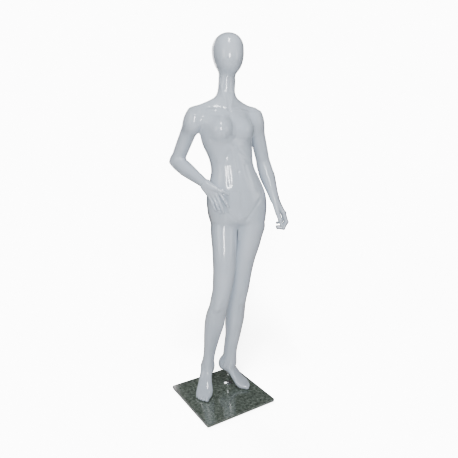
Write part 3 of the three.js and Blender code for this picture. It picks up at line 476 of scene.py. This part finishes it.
right_shin = spline([130, 300, 460, 620], [(-78, 66), (-54, 37), (-26, 0), (8, -15)])
left_shin = spline([130, 300, 460, 620], [(40, 97), (63, 88), (76, 72), (96, 68)])
RIGHT_ANKLE, LEFT_ANKLE = (-78, 68, 122), (38, 98, 122)


def right_leg_volume():
    knee = knee_strokes(right_leg_column, right_shin, (-0.1, -1, 0), KNEE_HEIGHT)
    column = sculpted(right_leg_column, knee)
    hips = blended(26, trunk, seat)
    limb = blended(20, column, foot("right"))
    return sculpted(blended(26, hips, limb), hip_strokes() + ankle_strokes("right", RIGHT_ANKLE))


left_knee = knee_strokes(left_leg_column, left_shin, (0.72, -0.7, 0), KNEE_HEIGHT)
left_limb = blended(20, sculpted(left_leg_column, left_knee), foot("left"))


def lower_volume():
    hips = blended(26, trunk, seat)
    body = blended(26, blended(26, hips, above(right_leg_column, 840)), left_limb)
    return sculpted(body, hip_strokes() + ankle_strokes("left", LEFT_ANKLE))


def head_volume():
    return blended(14, head_egg, neck)


def arm_volume(side):
    elbow, shoulder, wrist = (np.array(ARMS[side][name], float) for name in ("elbow", "shoulder", "wrist"))
    outward = unit(unit(elbow - shoulder) - unit(wrist - elbow))
    shoulder_end = blended(26, DELTOIDS[side], upper_arm(side), above(torso_core, armpit(side)[0][2]))
    bump = elbow + outward * 34
    return sculpted(blended(18, shoulder_end, fore_arm(side)), [(bump, bump, 13, 3.0)])


# ---- Hands: each digit runs through its joints to its tip ----------------------------------------------
HANDS = {
    "right": {
        "thumbward": (0.84, -0.385, 0.385),
        "back_sign": -1,
        "thumb": [(-56, -58, 1110), (-22, -68, 1100), (8, -70, 1090), (34, -64, 1076)],
        "fingers": [
            [(-6, -62, 1082), (14, -66, 1050), (25, -65, 1031), (34, -61, 1015)],
            [(-22, -59, 1070), (-4, -65, 1029), (5, -64, 1006), (11, -59, 988)],
            [(-38, -52, 1063), (-20, -60, 1024), (-11, -60, 1003), (-5, -56, 987)],
            [(-54, -42, 1060), (-40, -52, 1027), (-32, -53, 1009), (-26, -50, 995)]],
    },
    "left": {
        "thumbward": (-0.35, -0.93, 0.02),
        "back_sign": 1,
        "thumb": [(274, 16, 1012), (282, 2, 976), (293, -3, 942), (303, -1, 914)],
        "fingers": [
            [(311, 16, 977), (326, 13, 933), (313, 13, 902), (285, 15, 903)],
            [(316, 36, 972), (331, 35, 926), (316, 36, 894), (286, 38, 896)],
            [(314, 55, 972), (328, 56, 929), (314, 57, 898), (285, 57, 899)],
            [(309, 71, 977), (320, 75, 943), (309, 77, 918), (287, 76, 916)]],
    },
}
FINGER_RADII = [(9.5, 8, 7.2, 6), (9.8, 8.2, 7.4, 6.2), (9.3, 7.8, 7, 5.9), (8.2, 6.8, 6.2, 5.2)]
THUMB_RADII = (13.5, 10.5, 9, 7)


def digit(joints, radii, thumbward, back_sign):
    """One finger or thumb, with raised knuckles and a nail."""
    joints = np.array(joints, float)
    links = [round_cone(joints[i], joints[i + 1], radii[i], radii[i + 1]) for i in range(3)]
    strokes = []
    for i in (1, 2):
        heading = unit(joints[i + 1] - joints[i - 1])
        back = unit(np.cross(thumbward, heading)) * back_sign
        knuckle = joints[i] + back * radii[i]
        strokes.append((knuckle, knuckle, 0.7 * radii[i], 0.8))
    heading = unit(joints[3] - joints[2])
    back = unit(np.cross(thumbward, heading)) * back_sign
    bed = joints[3] + back * radii[3]
    strokes.append((bed - heading * 0.6 * radii[3], bed + heading * 0.7 * radii[3], 0.55 * radii[3], 0.8))
    strokes.append((bed - heading * 1.4 * radii[3], bed - heading * 1.4 * radii[3], 0.5 * radii[3], -0.6))
    return sculpted(blended(4, *links), strokes)


def hand_volume(side):
    hand = HANDS[side]
    wrist = SEAMS[side + "_wrist"][0]
    thumbward = np.array(hand["thumbward"])
    roots = [round_cone(wrist + thumbward * (10.5 - 7 * i), joints[0], 17, FINGER_RADII[i][0])
             for i, joints in enumerate(hand["fingers"])]
    ball = round_cone(wrist + thumbward * 10, hand["thumb"][1], 15, THUMB_RADII[1] - 1)
    palm = blended(10, *roots, ball)
    digits = [digit(hand["thumb"], THUMB_RADII, thumbward, hand["back_sign"])]
    digits += [digit(joints, FINGER_RADII[i], thumbward, hand["back_sign"])
               for i, joints in enumerate(hand["fingers"])]
    strokes = []
    for joints in hand["fingers"]:
        root, heading = np.array(joints[0], float), unit(np.array(joints[1]) - np.array(joints[0]))
        knuckle = root + unit(np.cross(thumbward, heading)) * hand["back_sign"] * 8.5
        strokes.append((knuckle, knuckle, 7, 1.3))
    return sculpted(blended(5, palm, union(*digits)), strokes)


# ---- Cuts: each is above zero where a piece has been cut away -------------------------------------------
def beyond(name, kept_side, radius=None, stop=None):
    """Cut at a seam. kept_side is 1 for the limb and -1 for the trunk; a radius or a stop plane limits it."""
    centre, normal = SEAMS[name]

    def cut(p):
        away = -kept_side * dot(p - centre, normal) + SEAM_GAP / 2
        if radius:
            away = np.minimum(away, radius - np.linalg.norm(p - centre, axis=-1))
        if stop:
            place, direction = stop
            away = np.minimum(away, dot(place - p, direction))
        return away
    return cut


def pocket(name, kept_side, radius, depth):
    """Round pocket at a seam, for its fitting."""
    centre, normal = SEAMS[name]

    def cut(p):
        q = p - centre
        height = q @ normal * kept_side
        radial = np.linalg.norm(q - (q @ normal)[..., None] * normal, axis=-1)
        return np.minimum(radius - radial, depth - np.abs(height))
    return cut


FITTING_RADIUS = {"neck": 26, "right_shoulder": 26, "left_shoulder": 26, "waist": 41, "right_thigh": 26,
                  "right_wrist": 12, "left_wrist": 12}
LIMB_POCKET, TRUNK_POCKET = 4.4, 12.6


def trunk_pocket(name):
    return pocket(name, -1, FITTING_RADIUS[name], TRUNK_POCKET)


def limb_pocket(name):
    return pocket(name, 1, FITTING_RADIUS[name], LIMB_POCKET)


# ---- Skins: a quad net over a volume, with crisp edges where a cut meets the skin ------------------------
CORNERS = np.array([(i, j, k) for i in (0, 1) for j in (0, 1) for k in (0, 1)])
EDGES = [(a, b) for a in range(8) for b in range(a + 1, 8) if abs(CORNERS[a] - CORNERS[b]).sum() == 1]
COARSE = 4


def evaluate(volume, points):
    flat = points.reshape(-1, 3)
    parts = [volume(flat[i:i + CHUNK]) for i in range(0, len(flat), CHUNK)]
    return np.concatenate(parts).reshape(points.shape[:-1])


def gradient(volume, points, reach=0.4):
    steps = np.eye(3) * reach
    rises = [evaluate(volume, points + s) - evaluate(volume, points - s) for s in steps]
    return np.stack(rises, -1) / (2 * reach)


def grid_values(volume, low, count, step):
    """The volume at each grid point near its skin; elsewhere only the sign is right."""
    blocks = -(-count // COARSE) + 1
    axes = [low[k] + step * COARSE * np.arange(blocks[k]) for k in range(3)]
    rough = evaluate(volume, np.stack(np.meshgrid(*axes, indexing="ij"), -1))
    near = np.abs(rough) < COARSE * step * 1.9
    active = np.zeros(blocks, bool)
    for i, j, k in CORNERS:
        active[:blocks[0] - 1, :blocks[1] - 1, :blocks[2] - 1] |= \
            near[i:blocks[0] - 1 + i, j:blocks[1] - 1 + j, k:blocks[2] - 1 + k]
    fine = active
    sign = np.where(rough < 0, -1e3, 1e3)
    for axis in range(3):
        fine = np.repeat(fine, COARSE, axis)
        sign = np.repeat(sign, COARSE, axis)
    for axis in range(3):
        moved = np.roll(fine, 1, axis)
        fine = fine | moved
    box = tuple(slice(0, n) for n in count)
    fine, values = fine[box], sign[box].copy()
    places = np.argwhere(fine)
    values[tuple(places.T)] = evaluate(volume, low + step * places)
    return values


def onto_skin(volume, points, limit, rounds=3):
    for _ in range(rounds):
        slope = gradient(volume, points)
        move = evaluate(volume, points) / np.maximum((slope**2).sum(1), 0.05)
        points = points - np.clip(move, -limit, limit)[:, None] * slope
    return points


def onto_edge(first, second, points, limit):
    """Moves points to where two volumes are both zero."""
    start = points
    for _ in range(6):
        a, b = gradient(first, points), gradient(second, points)
        fa, fb = evaluate(first, points), evaluate(second, points)
        aa, ab, bb = (a * a).sum(1), (a * b).sum(1), (b * b).sum(1)
        det = np.maximum(aa * bb - ab * ab, 0.02)
        points = points - ((bb * fa - ab * fb) / det)[:, None] * a - ((aa * fb - ab * fa) / det)[:, None] * b
        points = start + np.clip(points - start, -limit, limit)
    return points


def net_quads(inside, number, count):
    """One quad for each grid edge that the skin crosses."""
    quads = []
    for axis in range(3):
        other, third = (axis + 1) % 3, (axis + 2) % 3
        low_cut, high_cut = [slice(None)] * 3, [slice(None)] * 3
        low_cut[axis], high_cut[axis] = slice(0, -1), slice(1, None)
        low_side, high_side = inside[tuple(low_cut)], inside[tuple(high_cut)]
        edges = np.argwhere(low_side != high_side)
        keep = (edges[:, other] > 0) & (edges[:, third] > 0)
        keep &= (edges[:, other] < count[other] - 1) & (edges[:, third] < count[third] - 1)
        edges = edges[keep]
        around = []
        for d_other, d_third in ((1, 1), (0, 1), (0, 0), (1, 0)):
            cell = edges.copy()
            cell[:, other] -= d_other
            cell[:, third] -= d_third
            around.append(number[tuple(cell.T)])
        around = np.stack(around, 1)
        flip = ~low_side[tuple(edges.T)]
        around[flip] = around[flip][:, ::-1]
        quads.append(around)
    quads = np.concatenate(quads)
    return quads[(quads >= 0).all(1)]


def largest_part(points, quads):
    """Drops loose bits that a cut leaves."""
    label = np.arange(len(points))
    pairs = np.concatenate([quads[:, [0, 1]], quads[:, [1, 2]], quads[:, [2, 3]], quads[:, [3, 0]]])
    while True:
        low = np.minimum(label[pairs[:, 0]], label[pairs[:, 1]])
        new = label.copy()
        np.minimum.at(new, pairs[:, 0], low)
        np.minimum.at(new, pairs[:, 1], low)
        new = new[new]
        if (new == label).all():
            break
        label = new
    kept = label == np.bincount(label).argmax()
    index = np.cumsum(kept) - 1
    return points[kept], index[quads[kept[quads].all(1)]]


def skin_net(volume, cuts, low, high, step):
    low = np.array(low, float)
    count = np.ceil((np.array(high) - low) / step).astype(int) + 1

    def whole(p):
        return np.maximum.reduce([volume(p), *[cut(p) for cut in cuts]])

    values = grid_values(whole, low, count, step)
    inside = values < 0
    filled = sum(inside[i:count[0] - 1 + i, j:count[1] - 1 + j, k:count[2] - 1 + k].astype(np.int8)
                 for i, j, k in CORNERS)
    cells = np.argwhere((filled > 0) & (filled < 8))
    number = np.full(count - 1, -1)
    number[tuple(cells.T)] = np.arange(len(cells))

    grid = cells[:, None] + CORNERS
    at = values[tuple(np.moveaxis(grid, -1, 0))]
    total, hits = np.zeros((len(cells), 3)), np.zeros(len(cells))
    for a, b in EDGES:
        crossed = (at[:, a] < 0) != (at[:, b] < 0)
        t = np.where(crossed, at[:, a] / np.where(crossed, at[:, a] - at[:, b], 1), 0)
        total += (CORNERS[a] + t[:, None] * (CORNERS[b] - CORNERS[a])) * crossed[:, None]
        hits += crossed
    points = low + step * (cells + total / hits[:, None])

    corner_points = low + step * grid
    parts = [volume, *cuts]
    signs = [evaluate(part, corner_points) < 0 for part in parts]
    mixed = [sign.any(1) & ~sign.all(1) for sign in signs]
    plain = np.ones(len(points), bool)
    for i in range(len(parts)):
        for j in range(i + 1, len(parts)):
            both = np.flatnonzero(mixed[i] & mixed[j] & plain)
            if len(both):
                points[both] = onto_edge(parts[i], parts[j], points[both], step)
                plain[both] = False
    points[plain] = onto_skin(whole, points[plain], step / 2)
    return largest_part(points, net_quads(inside, number, count))


# ---- Materials ------------------------------------------------------------------------------------------
class Nodes:
    """Short calls for a material's nodes. The pattern's coordinates are the piece's own, in metres."""
    def __init__(self, name):
        self.material = bpy.data.materials.new(name)
        self.material.use_nodes = True
        self.tree = self.material.node_tree
        self.tree.nodes.clear()
        output = self.add("ShaderNodeOutputMaterial")
        self.shader = self.add("ShaderNodeBsdfPrincipled")
        self.link(self.shader.outputs[0], output.inputs["Surface"])
        self.place = self.add("ShaderNodeTexCoord").outputs["Object"]

    def add(self, kind):
        return self.tree.nodes.new(kind)

    def link(self, source, target):
        self.tree.links.new(source, target)

    def set(self, **values):
        for name, value in values.items():
            self.shader.inputs[name.replace("_", " ")].default_value = value

    def noise(self, scale, detail=3.0, roughness=0.5, stretch=None):
        node = self.add("ShaderNodeTexNoise")
        node.inputs["Scale"].default_value = scale
        node.inputs["Detail"].default_value = detail
        node.inputs["Roughness"].default_value = roughness
        place = self.place
        if stretch:
            mapping = self.add("ShaderNodeMapping")
            mapping.inputs["Scale"].default_value = stretch
            self.link(self.place, mapping.inputs["Vector"])
            place = mapping.outputs[0]
        self.link(place, node.inputs["Vector"])
        return node.outputs["Fac"]

    def cells(self, scale, feature="F1"):
        node = self.add("ShaderNodeTexVoronoi")
        node.feature = feature
        node.inputs["Scale"].default_value = scale
        self.link(self.place, node.inputs["Vector"])
        return node.outputs["Distance"]

    def ramp(self, value, stops):
        node = self.add("ShaderNodeValToRGB")
        self.link(value, node.inputs[0])
        elements = node.color_ramp.elements
        while len(elements) < len(stops):
            elements.new(0.5)
        for element, (position, color) in zip(elements, stops):
            element.position = position
            element.color = (*color, 1)
        return node.outputs[0]

    def range(self, value, low, high, start=0.3, end=0.7):
        node = self.add("ShaderNodeMapRange")
        for name, number in (("From Min", start), ("From Max", end), ("To Min", low), ("To Max", high)):
            node.inputs[name].default_value = number
        self.link(value, node.inputs["Value"])
        return node.outputs[0]

    def mix(self, factor, first, second, blend="MIX"):
        node = self.add("ShaderNodeMix")
        node.data_type = "RGBA"
        node.blend_type = blend
        for socket, value in (("Factor_Float", factor), ("A_Color", first), ("B_Color", second)):
            target = next(s for s in node.inputs if s.identifier == socket)
            if isinstance(value, bpy.types.NodeSocket):
                self.link(value, target)
            else:
                target.default_value = value
        return next(s for s in node.outputs if s.identifier == "Result_Color")

    def bump(self, height, strength, distance, under=None):
        node = self.add("ShaderNodeBump")
        node.inputs["Strength"].default_value = strength
        node.inputs["Distance"].default_value = distance
        self.link(height, node.inputs["Height"])
        if under:
            self.link(under, node.inputs["Normal"])
        return node.outputs[0]

    def use(self, name, value):
        self.link(value, self.shader.inputs[name])


def gelcoat():
    """Sprayed and polished white gel coat: cool, faintly cloudy, with a slow waviness and fine dust."""
    n = Nodes("gelcoat")
    clouds = n.ramp(n.noise(7, 4), [(0.35, (0.57, 0.64, 0.73)), (0.65, (0.61, 0.675, 0.76))])
    specks = n.range(n.noise(900, 2, 0.7), 0, 0.05, 0.62, 0.8)
    n.use("Base Color", n.mix(specks, clouds, (0.42, 0.43, 0.42, 1)))
    n.use("Roughness", n.range(n.noise(14, 5, 0.6), 0.10, 0.19))
    wave = n.bump(n.noise(26, 1), 0.35, 0.0012)
    n.use("Normal", n.bump(n.noise(420, 2), 0.05, 0.0003, wave))
    n.set(IOR=1.5, Coat_Weight=0.6, Coat_Roughness=0.04)
    return n.material


def mottled_glass():
    """Toughened glass, grey-green and mottled like dark stone, with bright polished edges."""
    n = Nodes("mottled_glass")
    blotches = n.ramp(n.noise(62, 6, 0.72), [(0.36, (0.028, 0.037, 0.030)), (0.5, (0.105, 0.130, 0.108)),
                                           (0.6, (0.215, 0.250, 0.215)), (0.74, (0.42, 0.46, 0.41))])
    flecks = n.range(n.cells(130), 1, 0, 0.10, 0.34)
    stone = n.mix(flecks, blotches, (0.27, 0.31, 0.27, 1))
    n.use("Base Color", n.mix(n.range(n.noise(11, 3), 0, 0.45), stone, (0.06, 0.078, 0.066, 1)))
    n.use("Roughness", n.range(n.noise(9, 4), 0.05, 0.16))
    n.use("Normal", n.bump(n.noise(35, 2), 0.12, 0.0006))
    n.set(IOR=1.52, Coat_Weight=0.5, Coat_Roughness=0.02)
    return n.material


def chrome():
    """Polished chrome with faint draw lines and handling marks."""
    n = Nodes("chrome")
    tint = n.ramp(n.noise(30, 4), [(0.3, (0.78, 0.79, 0.80)), (0.7, (0.88, 0.885, 0.89))])
    n.use("Base Color", tint)
    n.use("Roughness", n.range(n.noise(60, 4, 0.6, (8, 8, 1)), 0.05, 0.16))
    n.use("Normal", n.bump(n.noise(500, 2, 0.5, (6, 6, 0.6)), 0.05, 0.0002))
    n.set(Metallic=1.0)
    return n.material


def zinc_steel():
    """Zinc-plated pressed steel with a fine grain."""
    n = Nodes("zinc_steel")
    n.use("Base Color", n.ramp(n.noise(80, 5, 0.6), [(0.3, (0.42, 0.43, 0.44)), (0.7, (0.62, 0.62, 0.60))]))
    n.use("Roughness", n.range(n.noise(200, 4, 0.6), 0.26, 0.46))
    n.use("Normal", n.bump(n.noise(700, 3, 0.6, (1, 5, 1)), 0.15, 0.0003))
    n.set(Metallic=1.0)
    return n.material


def fibreboard():
    """Pressed wood fibre with short dark strands."""
    n = Nodes("fibreboard")
    strands = n.noise(260, 5, 0.65, (1, 3, 3))
    n.use("Base Color", n.ramp(strands, [(0.3, (0.23, 0.14, 0.07)), (0.55, (0.42, 0.29, 0.16)),
                                         (0.75, (0.55, 0.41, 0.25))]))
    n.use("Roughness", n.range(strands, 0.62, 0.85))
    n.use("Normal", n.bump(strands, 0.4, 0.0005))
    return n.material


def soft_rubber():
    """Cloudy clear bumper rubber with dust in it."""
    n = Nodes("soft_rubber")
    n.use("Base Color", n.ramp(n.noise(120, 4), [(0.35, (0.52, 0.54, 0.54)), (0.65, (0.66, 0.68, 0.68))]))
    n.use("Roughness", n.range(n.noise(180, 3), 0.35, 0.6))
    n.use("Normal", n.bump(n.noise(900, 2), 0.15, 0.0002))
    n.set(Subsurface_Weight=0.2, Subsurface_Scale=0.003)
    return n.material


MATERIALS = {"gelcoat": gelcoat(), "glass": mottled_glass(), "chrome": chrome(), "steel": zinc_steel(),
             "board": fibreboard(), "rubber": soft_rubber()}


# ---- Pieces -----------------------------------------------------------------------------------------------
def piece(name, vertices, faces, material, node, body, sharp_degrees=40):
    """A finished piece in the row frame, standing for a CAD node and riding on its body."""
    mesh = bpy.data.meshes.new(name)
    mesh.from_pydata([tuple(v) for v in vertices], [], [tuple(int(i) for i in f) for f in faces])
    mesh.transform(TO_ROW)
    mesh.shade_smooth()
    mesh.set_sharp_from_angle(angle=math.radians(sharp_degrees))
    mesh.materials.append(MATERIALS[material])
    mesh.validate()
    obj = bpy.data.objects.new(name, mesh)
    bpy.context.scene.collection.objects.link(obj)
    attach(obj, body)
    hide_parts(node)
    return obj


def figure_box(node, margin):
    """Box round a CAD node in the figure's frame."""
    local = TO_ROW.inverted()
    places = np.array([local @ v.co for v in frame["nodes"][node].data.vertices])
    return places.min(0) - margin, places.max(0) + margin


def shell(node, body, volume, cuts, step=SKIN_STEP):
    low, high = figure_box(node, 4 * step)
    vertices, faces = skin_net(volume, cuts, low, high, step)
    return piece(node + "_skin", vertices, faces, "gelcoat", node, body)


def standing(volume):
    """Flattens a foot where it stands on the glass."""
    return lambda p: smooth_max(volume(p), 0.5 - p[..., 2], 1.5)


def rod_bore(p):
    """Above zero in the hole up the left heel, where the socket for the rod sits."""
    low, high = figure_box("leg_socket", 0)
    middle, radius = (low + high) / 2, (high[0] - low[0]) / 2 + 0.6
    radial = np.hypot(p[..., 0] - middle[0], p[..., 1] - middle[1])
    return np.minimum(radius - radial, high[2] + 20 - p[..., 2])


CROTCH_X = 84.4
SHOULDER_CUT = 190


def thigh_cut_trunk(p):
    """The right thigh is cut away below its seam, up to the crotch, and the left leg is left whole."""
    below = np.minimum(beyond("right_thigh", -1)(p), CROTCH_X - p[..., 0])
    return np.minimum(below, left_limb(p))


shell("head", "head", head_volume(), [beyond("neck", 1), limb_pocket("neck")])
shell("torso", "torso", torso_volume(), [
    beyond("neck", -1), beyond("waist", -1),
    beyond("right_shoulder", -1, SHOULDER_CUT), beyond("left_shoulder", -1, SHOULDER_CUT),
    trunk_pocket("neck"), trunk_pocket("waist"), trunk_pocket("right_shoulder"), trunk_pocket("left_shoulder")])
shell("lower_body", "lower_body", standing(lower_volume()), [
    beyond("waist", 1), thigh_cut_trunk, limb_pocket("waist"), trunk_pocket("right_thigh"), rod_bore])
shell("right_leg", "right_leg", standing(right_leg_volume()), [
    beyond("right_thigh", 1), limb_pocket("right_thigh"), lambda p: p[..., 0] - CROTCH_X])
for side in ("right", "left"):
    shell(side + "_arm", side + "_arm", arm_volume(side), [
        beyond(side + "_shoulder", 1, stop=armpit(side)), beyond(side + "_wrist", -1),
        limb_pocket(side + "_shoulder"), trunk_pocket(side + "_wrist")])
    shell(side + "_hand", side + "_hand", hand_volume(side), [
        beyond(side + "_wrist", 1), limb_pocket(side + "_wrist")], HAND_STEP)


def turned(node, body, material, profile, segments=48):
    """Round piece standing on the CAD node's axis: the profile is radius and height, in millimetres."""
    low, high = figure_box(node, 0)
    x, y = (low[:2] + high[:2]) / 2
    angles = [2 * math.pi * i / segments for i in range(segments)]
    vertices = [(x + r * math.cos(a), y + r * math.sin(a), z) for r, z in profile for a in angles]
    faces = []
    for ring in range(len(profile) - 1):
        for i in range(segments):
            j = (i + 1) % segments
            low_ring, high_ring = ring * segments, (ring + 1) * segments
            faces.append((low_ring + i, low_ring + j, high_ring + j, high_ring + i))
    faces.append(tuple(range(segments))[::-1])
    faces.append(tuple((len(profile) - 1) * segments + i for i in range(segments)))
    return piece(node + "_turned", vertices, faces, material, node, body, 30)


def rounded_profile(radius, low, high, edge):
    """Side of a round bar with rounded edges at both ends."""
    quarter = [math.radians(a) for a in (0, 30, 60, 90)]
    bottom = [(radius - edge + edge * math.sin(a), low + edge - edge * math.cos(a)) for a in quarter]
    top = [(radius - edge + edge * math.cos(a), high - edge + edge * math.sin(a)) for a in quarter]
    return bottom + top


def round_piece(node, body, material, edge):
    low, high = figure_box(node, 0)
    return turned(node, body, material, rounded_profile((high[0] - low[0]) / 2, low[2], high[2], edge))


def flange_piece():
    """Spun flange with a soft shoulder round the rod."""
    low, high = figure_box("rod_flange", 0)
    radius, bottom, top = (high[0] - low[0]) / 2, low[2], high[2]
    rod_low, rod_high = figure_box("support_rod", 0)
    bore = (rod_high[0] - rod_low[0]) / 2 + 0.3
    profile = [(radius - 0.4, bottom), (radius, bottom + 0.4), (radius, bottom + 1.2),
               (radius - 1.5, bottom + 2.2), (bore + 6, top - 1.6), (bore + 3, top - 0.4),
               (bore + 1.4, top), (bore + 0.3, top), (bore, top - 0.3)]
    return turned("rod_flange", "base", "chrome", profile)


RIM_CUT = 3.0


def board(node, body):
    """End plate, cut back at its rim so that it stays inside the moulding that it closes."""
    source = frame["nodes"][node].data
    local = TO_ROW.inverted()
    vertices = np.array([local @ v.co for v in source.vertices])
    middle = (vertices.min(0) + vertices.max(0)) / 2
    seam_name = node[:node.index("_plate")]
    normal = SEAMS[seam_name][1]
    offset = vertices - middle
    flat = offset - (offset @ normal)[:, None] * normal
    radius = np.linalg.norm(flat, axis=1)
    outer = radius > FITTING_RADIUS[seam_name]
    vertices[outer] -= RIM_CUT * flat[outer] / radius[outer, None]
    return piece(node + "_cut", vertices, [f.vertices for f in source.polygons], "board", node, body, 30)


TRUNK_BODY = {"waist": "torso", "neck": "torso", "right_shoulder": "torso", "left_shoulder": "torso",
              "right_thigh": "lower_body"}
LIMB_BODY = {"waist": "lower_body", "neck": "head", "right_shoulder": "right_arm",
             "left_shoulder": "left_arm", "right_thigh": "right_leg"}
for name in TRUNK_BODY:
    board(name + "_plate_trunk_side", TRUNK_BODY[name])
    board(name + "_plate_limb_side", LIMB_BODY[name])
round_piece("support_rod", "base", "chrome", 0.8)
flange_piece()
for name in ("centre", "left_rear", "right_rear", "right_front", "left_front"):
    round_piece(name + "_bumper", "base", "rubber", 1.2)


def carried_over():
    """CAD nodes that keep their shape get their material and a fine rounding of their edges."""
    for name, obj in frame["nodes"].items():
        if obj.hide_render:
            continue
        kind = "glass" if name == "base_plate" else "steel"
        obj.data.materials.clear()
        obj.data.materials.append(MATERIALS[kind])
        bevel = obj.modifiers.new("edges", "BEVEL")
        bevel.width = 0.9 * MM if name == "base_plate" else 0.25 * MM
        bevel.segments = 2
        bevel.limit_method = "ANGLE"
        bevel.angle_limit = math.radians(40)


carried_over()


# ---- Floor, light and camera ----------------------------------------------------------------------------
FLOOR_HALF = 30
REFLECTED_WHITE, SEEN_WHITE = 0.06, 12.0


def stage():
    mesh = bpy.data.meshes.new("floor")
    bm = bmesh.new()
    bmesh.ops.create_grid(bm, x_segments=1, y_segments=1, size=FLOOR_HALF)
    bm.to_mesh(mesh)
    bm.free()
    floor = bpy.data.objects.new("floor", mesh)
    bpy.context.scene.collection.objects.link(floor)
    material = bpy.data.materials.new("pale_floor")
    material.use_nodes = True
    shader = material.node_tree.nodes["Principled BSDF"]
    shader.inputs["Base Color"].default_value = (0.93, 0.93, 0.93, 1)
    shader.inputs["Roughness"].default_value = 0.9
    mesh.materials.append(material)
    floor.is_shadow_catcher = True

    world = bpy.data.worlds.new("studio")
    bpy.context.scene.world = world
    world.use_nodes = True
    tree = world.node_tree
    background = tree.nodes["Background"]
    ray = tree.nodes.new("ShaderNodeLightPath")
    mix = tree.nodes.new("ShaderNodeMix")
    mix.data_type = "FLOAT"
    mix.inputs["A"].default_value = REFLECTED_WHITE
    mix.inputs["B"].default_value = SEEN_WHITE
    tree.links.new(ray.outputs["Is Camera Ray"], mix.inputs["Factor"])
    tree.links.new(mix.outputs["Result"], background.inputs["Strength"])
    background.inputs["Color"].default_value = (1, 1, 1, 1)


def area_light(name, place, target, width, height, power):
    light = bpy.data.lights.new(name, "AREA")
    light.shape = "RECTANGLE"
    light.size, light.size_y = width, height
    light.energy = power
    obj = bpy.data.objects.new(name, light)
    bpy.context.scene.collection.objects.link(obj)
    obj.location = place
    obj.rotation_euler = (Vector(target) - Vector(place)).to_track_quat("-Z", "Y").to_euler()
    return obj


def lights():
    """A tall soft box over the camera, a strip under the ceiling, and broad soft sides and back."""
    toward = Vector((-math.sin(-STANCE_TURN), -math.cos(-STANCE_TURN), 0))
    side = Vector((-toward.y, toward.x, 0))
    area_light("front", toward * 2.7 + Vector((0, 0, 1.7)), (0, 0, 1.0), 0.34, 1.0, 50)
    area_light("strip", toward * 1.3 + Vector((0, 0, 3.3)), (0, 0, 1.3), 0.35, 1.2, 42)
    area_light("left_soft", toward * 2.2 - side * 2.6 + Vector((0, 0, 1.9)), (0, 0, 1.0), 1.4, 1.8, 22)
    area_light("back_soft", toward * -2.4 - side * 1.2 + Vector((0, 0, 2.2)), (0, 0, 1.0), 1.4, 1.8, 34)
    area_light("right_soft", toward * 1.6 + side * 2.8 + Vector((0, 0, 1.7)), (0, 0, 1.0), 1.0, 1.8, 13)


def camera():
    """The view, set from the base and the figure's height."""
    data = bpy.data.cameras.new("camera")
    data.sensor_width = 36
    data.lens = 31.47
    obj = bpy.data.objects.new("camera", data)
    bpy.context.scene.collection.objects.link(obj)
    obj.location = (-1.0303, -1.6914, 1.2402 + GLASS_TOP * MM)
    pitch = math.radians(90 - 9.869)
    obj.rotation_euler = (pitch, 0, STANCE_TURN)
    bpy.context.scene.camera = obj


stage()
lights()
camera()
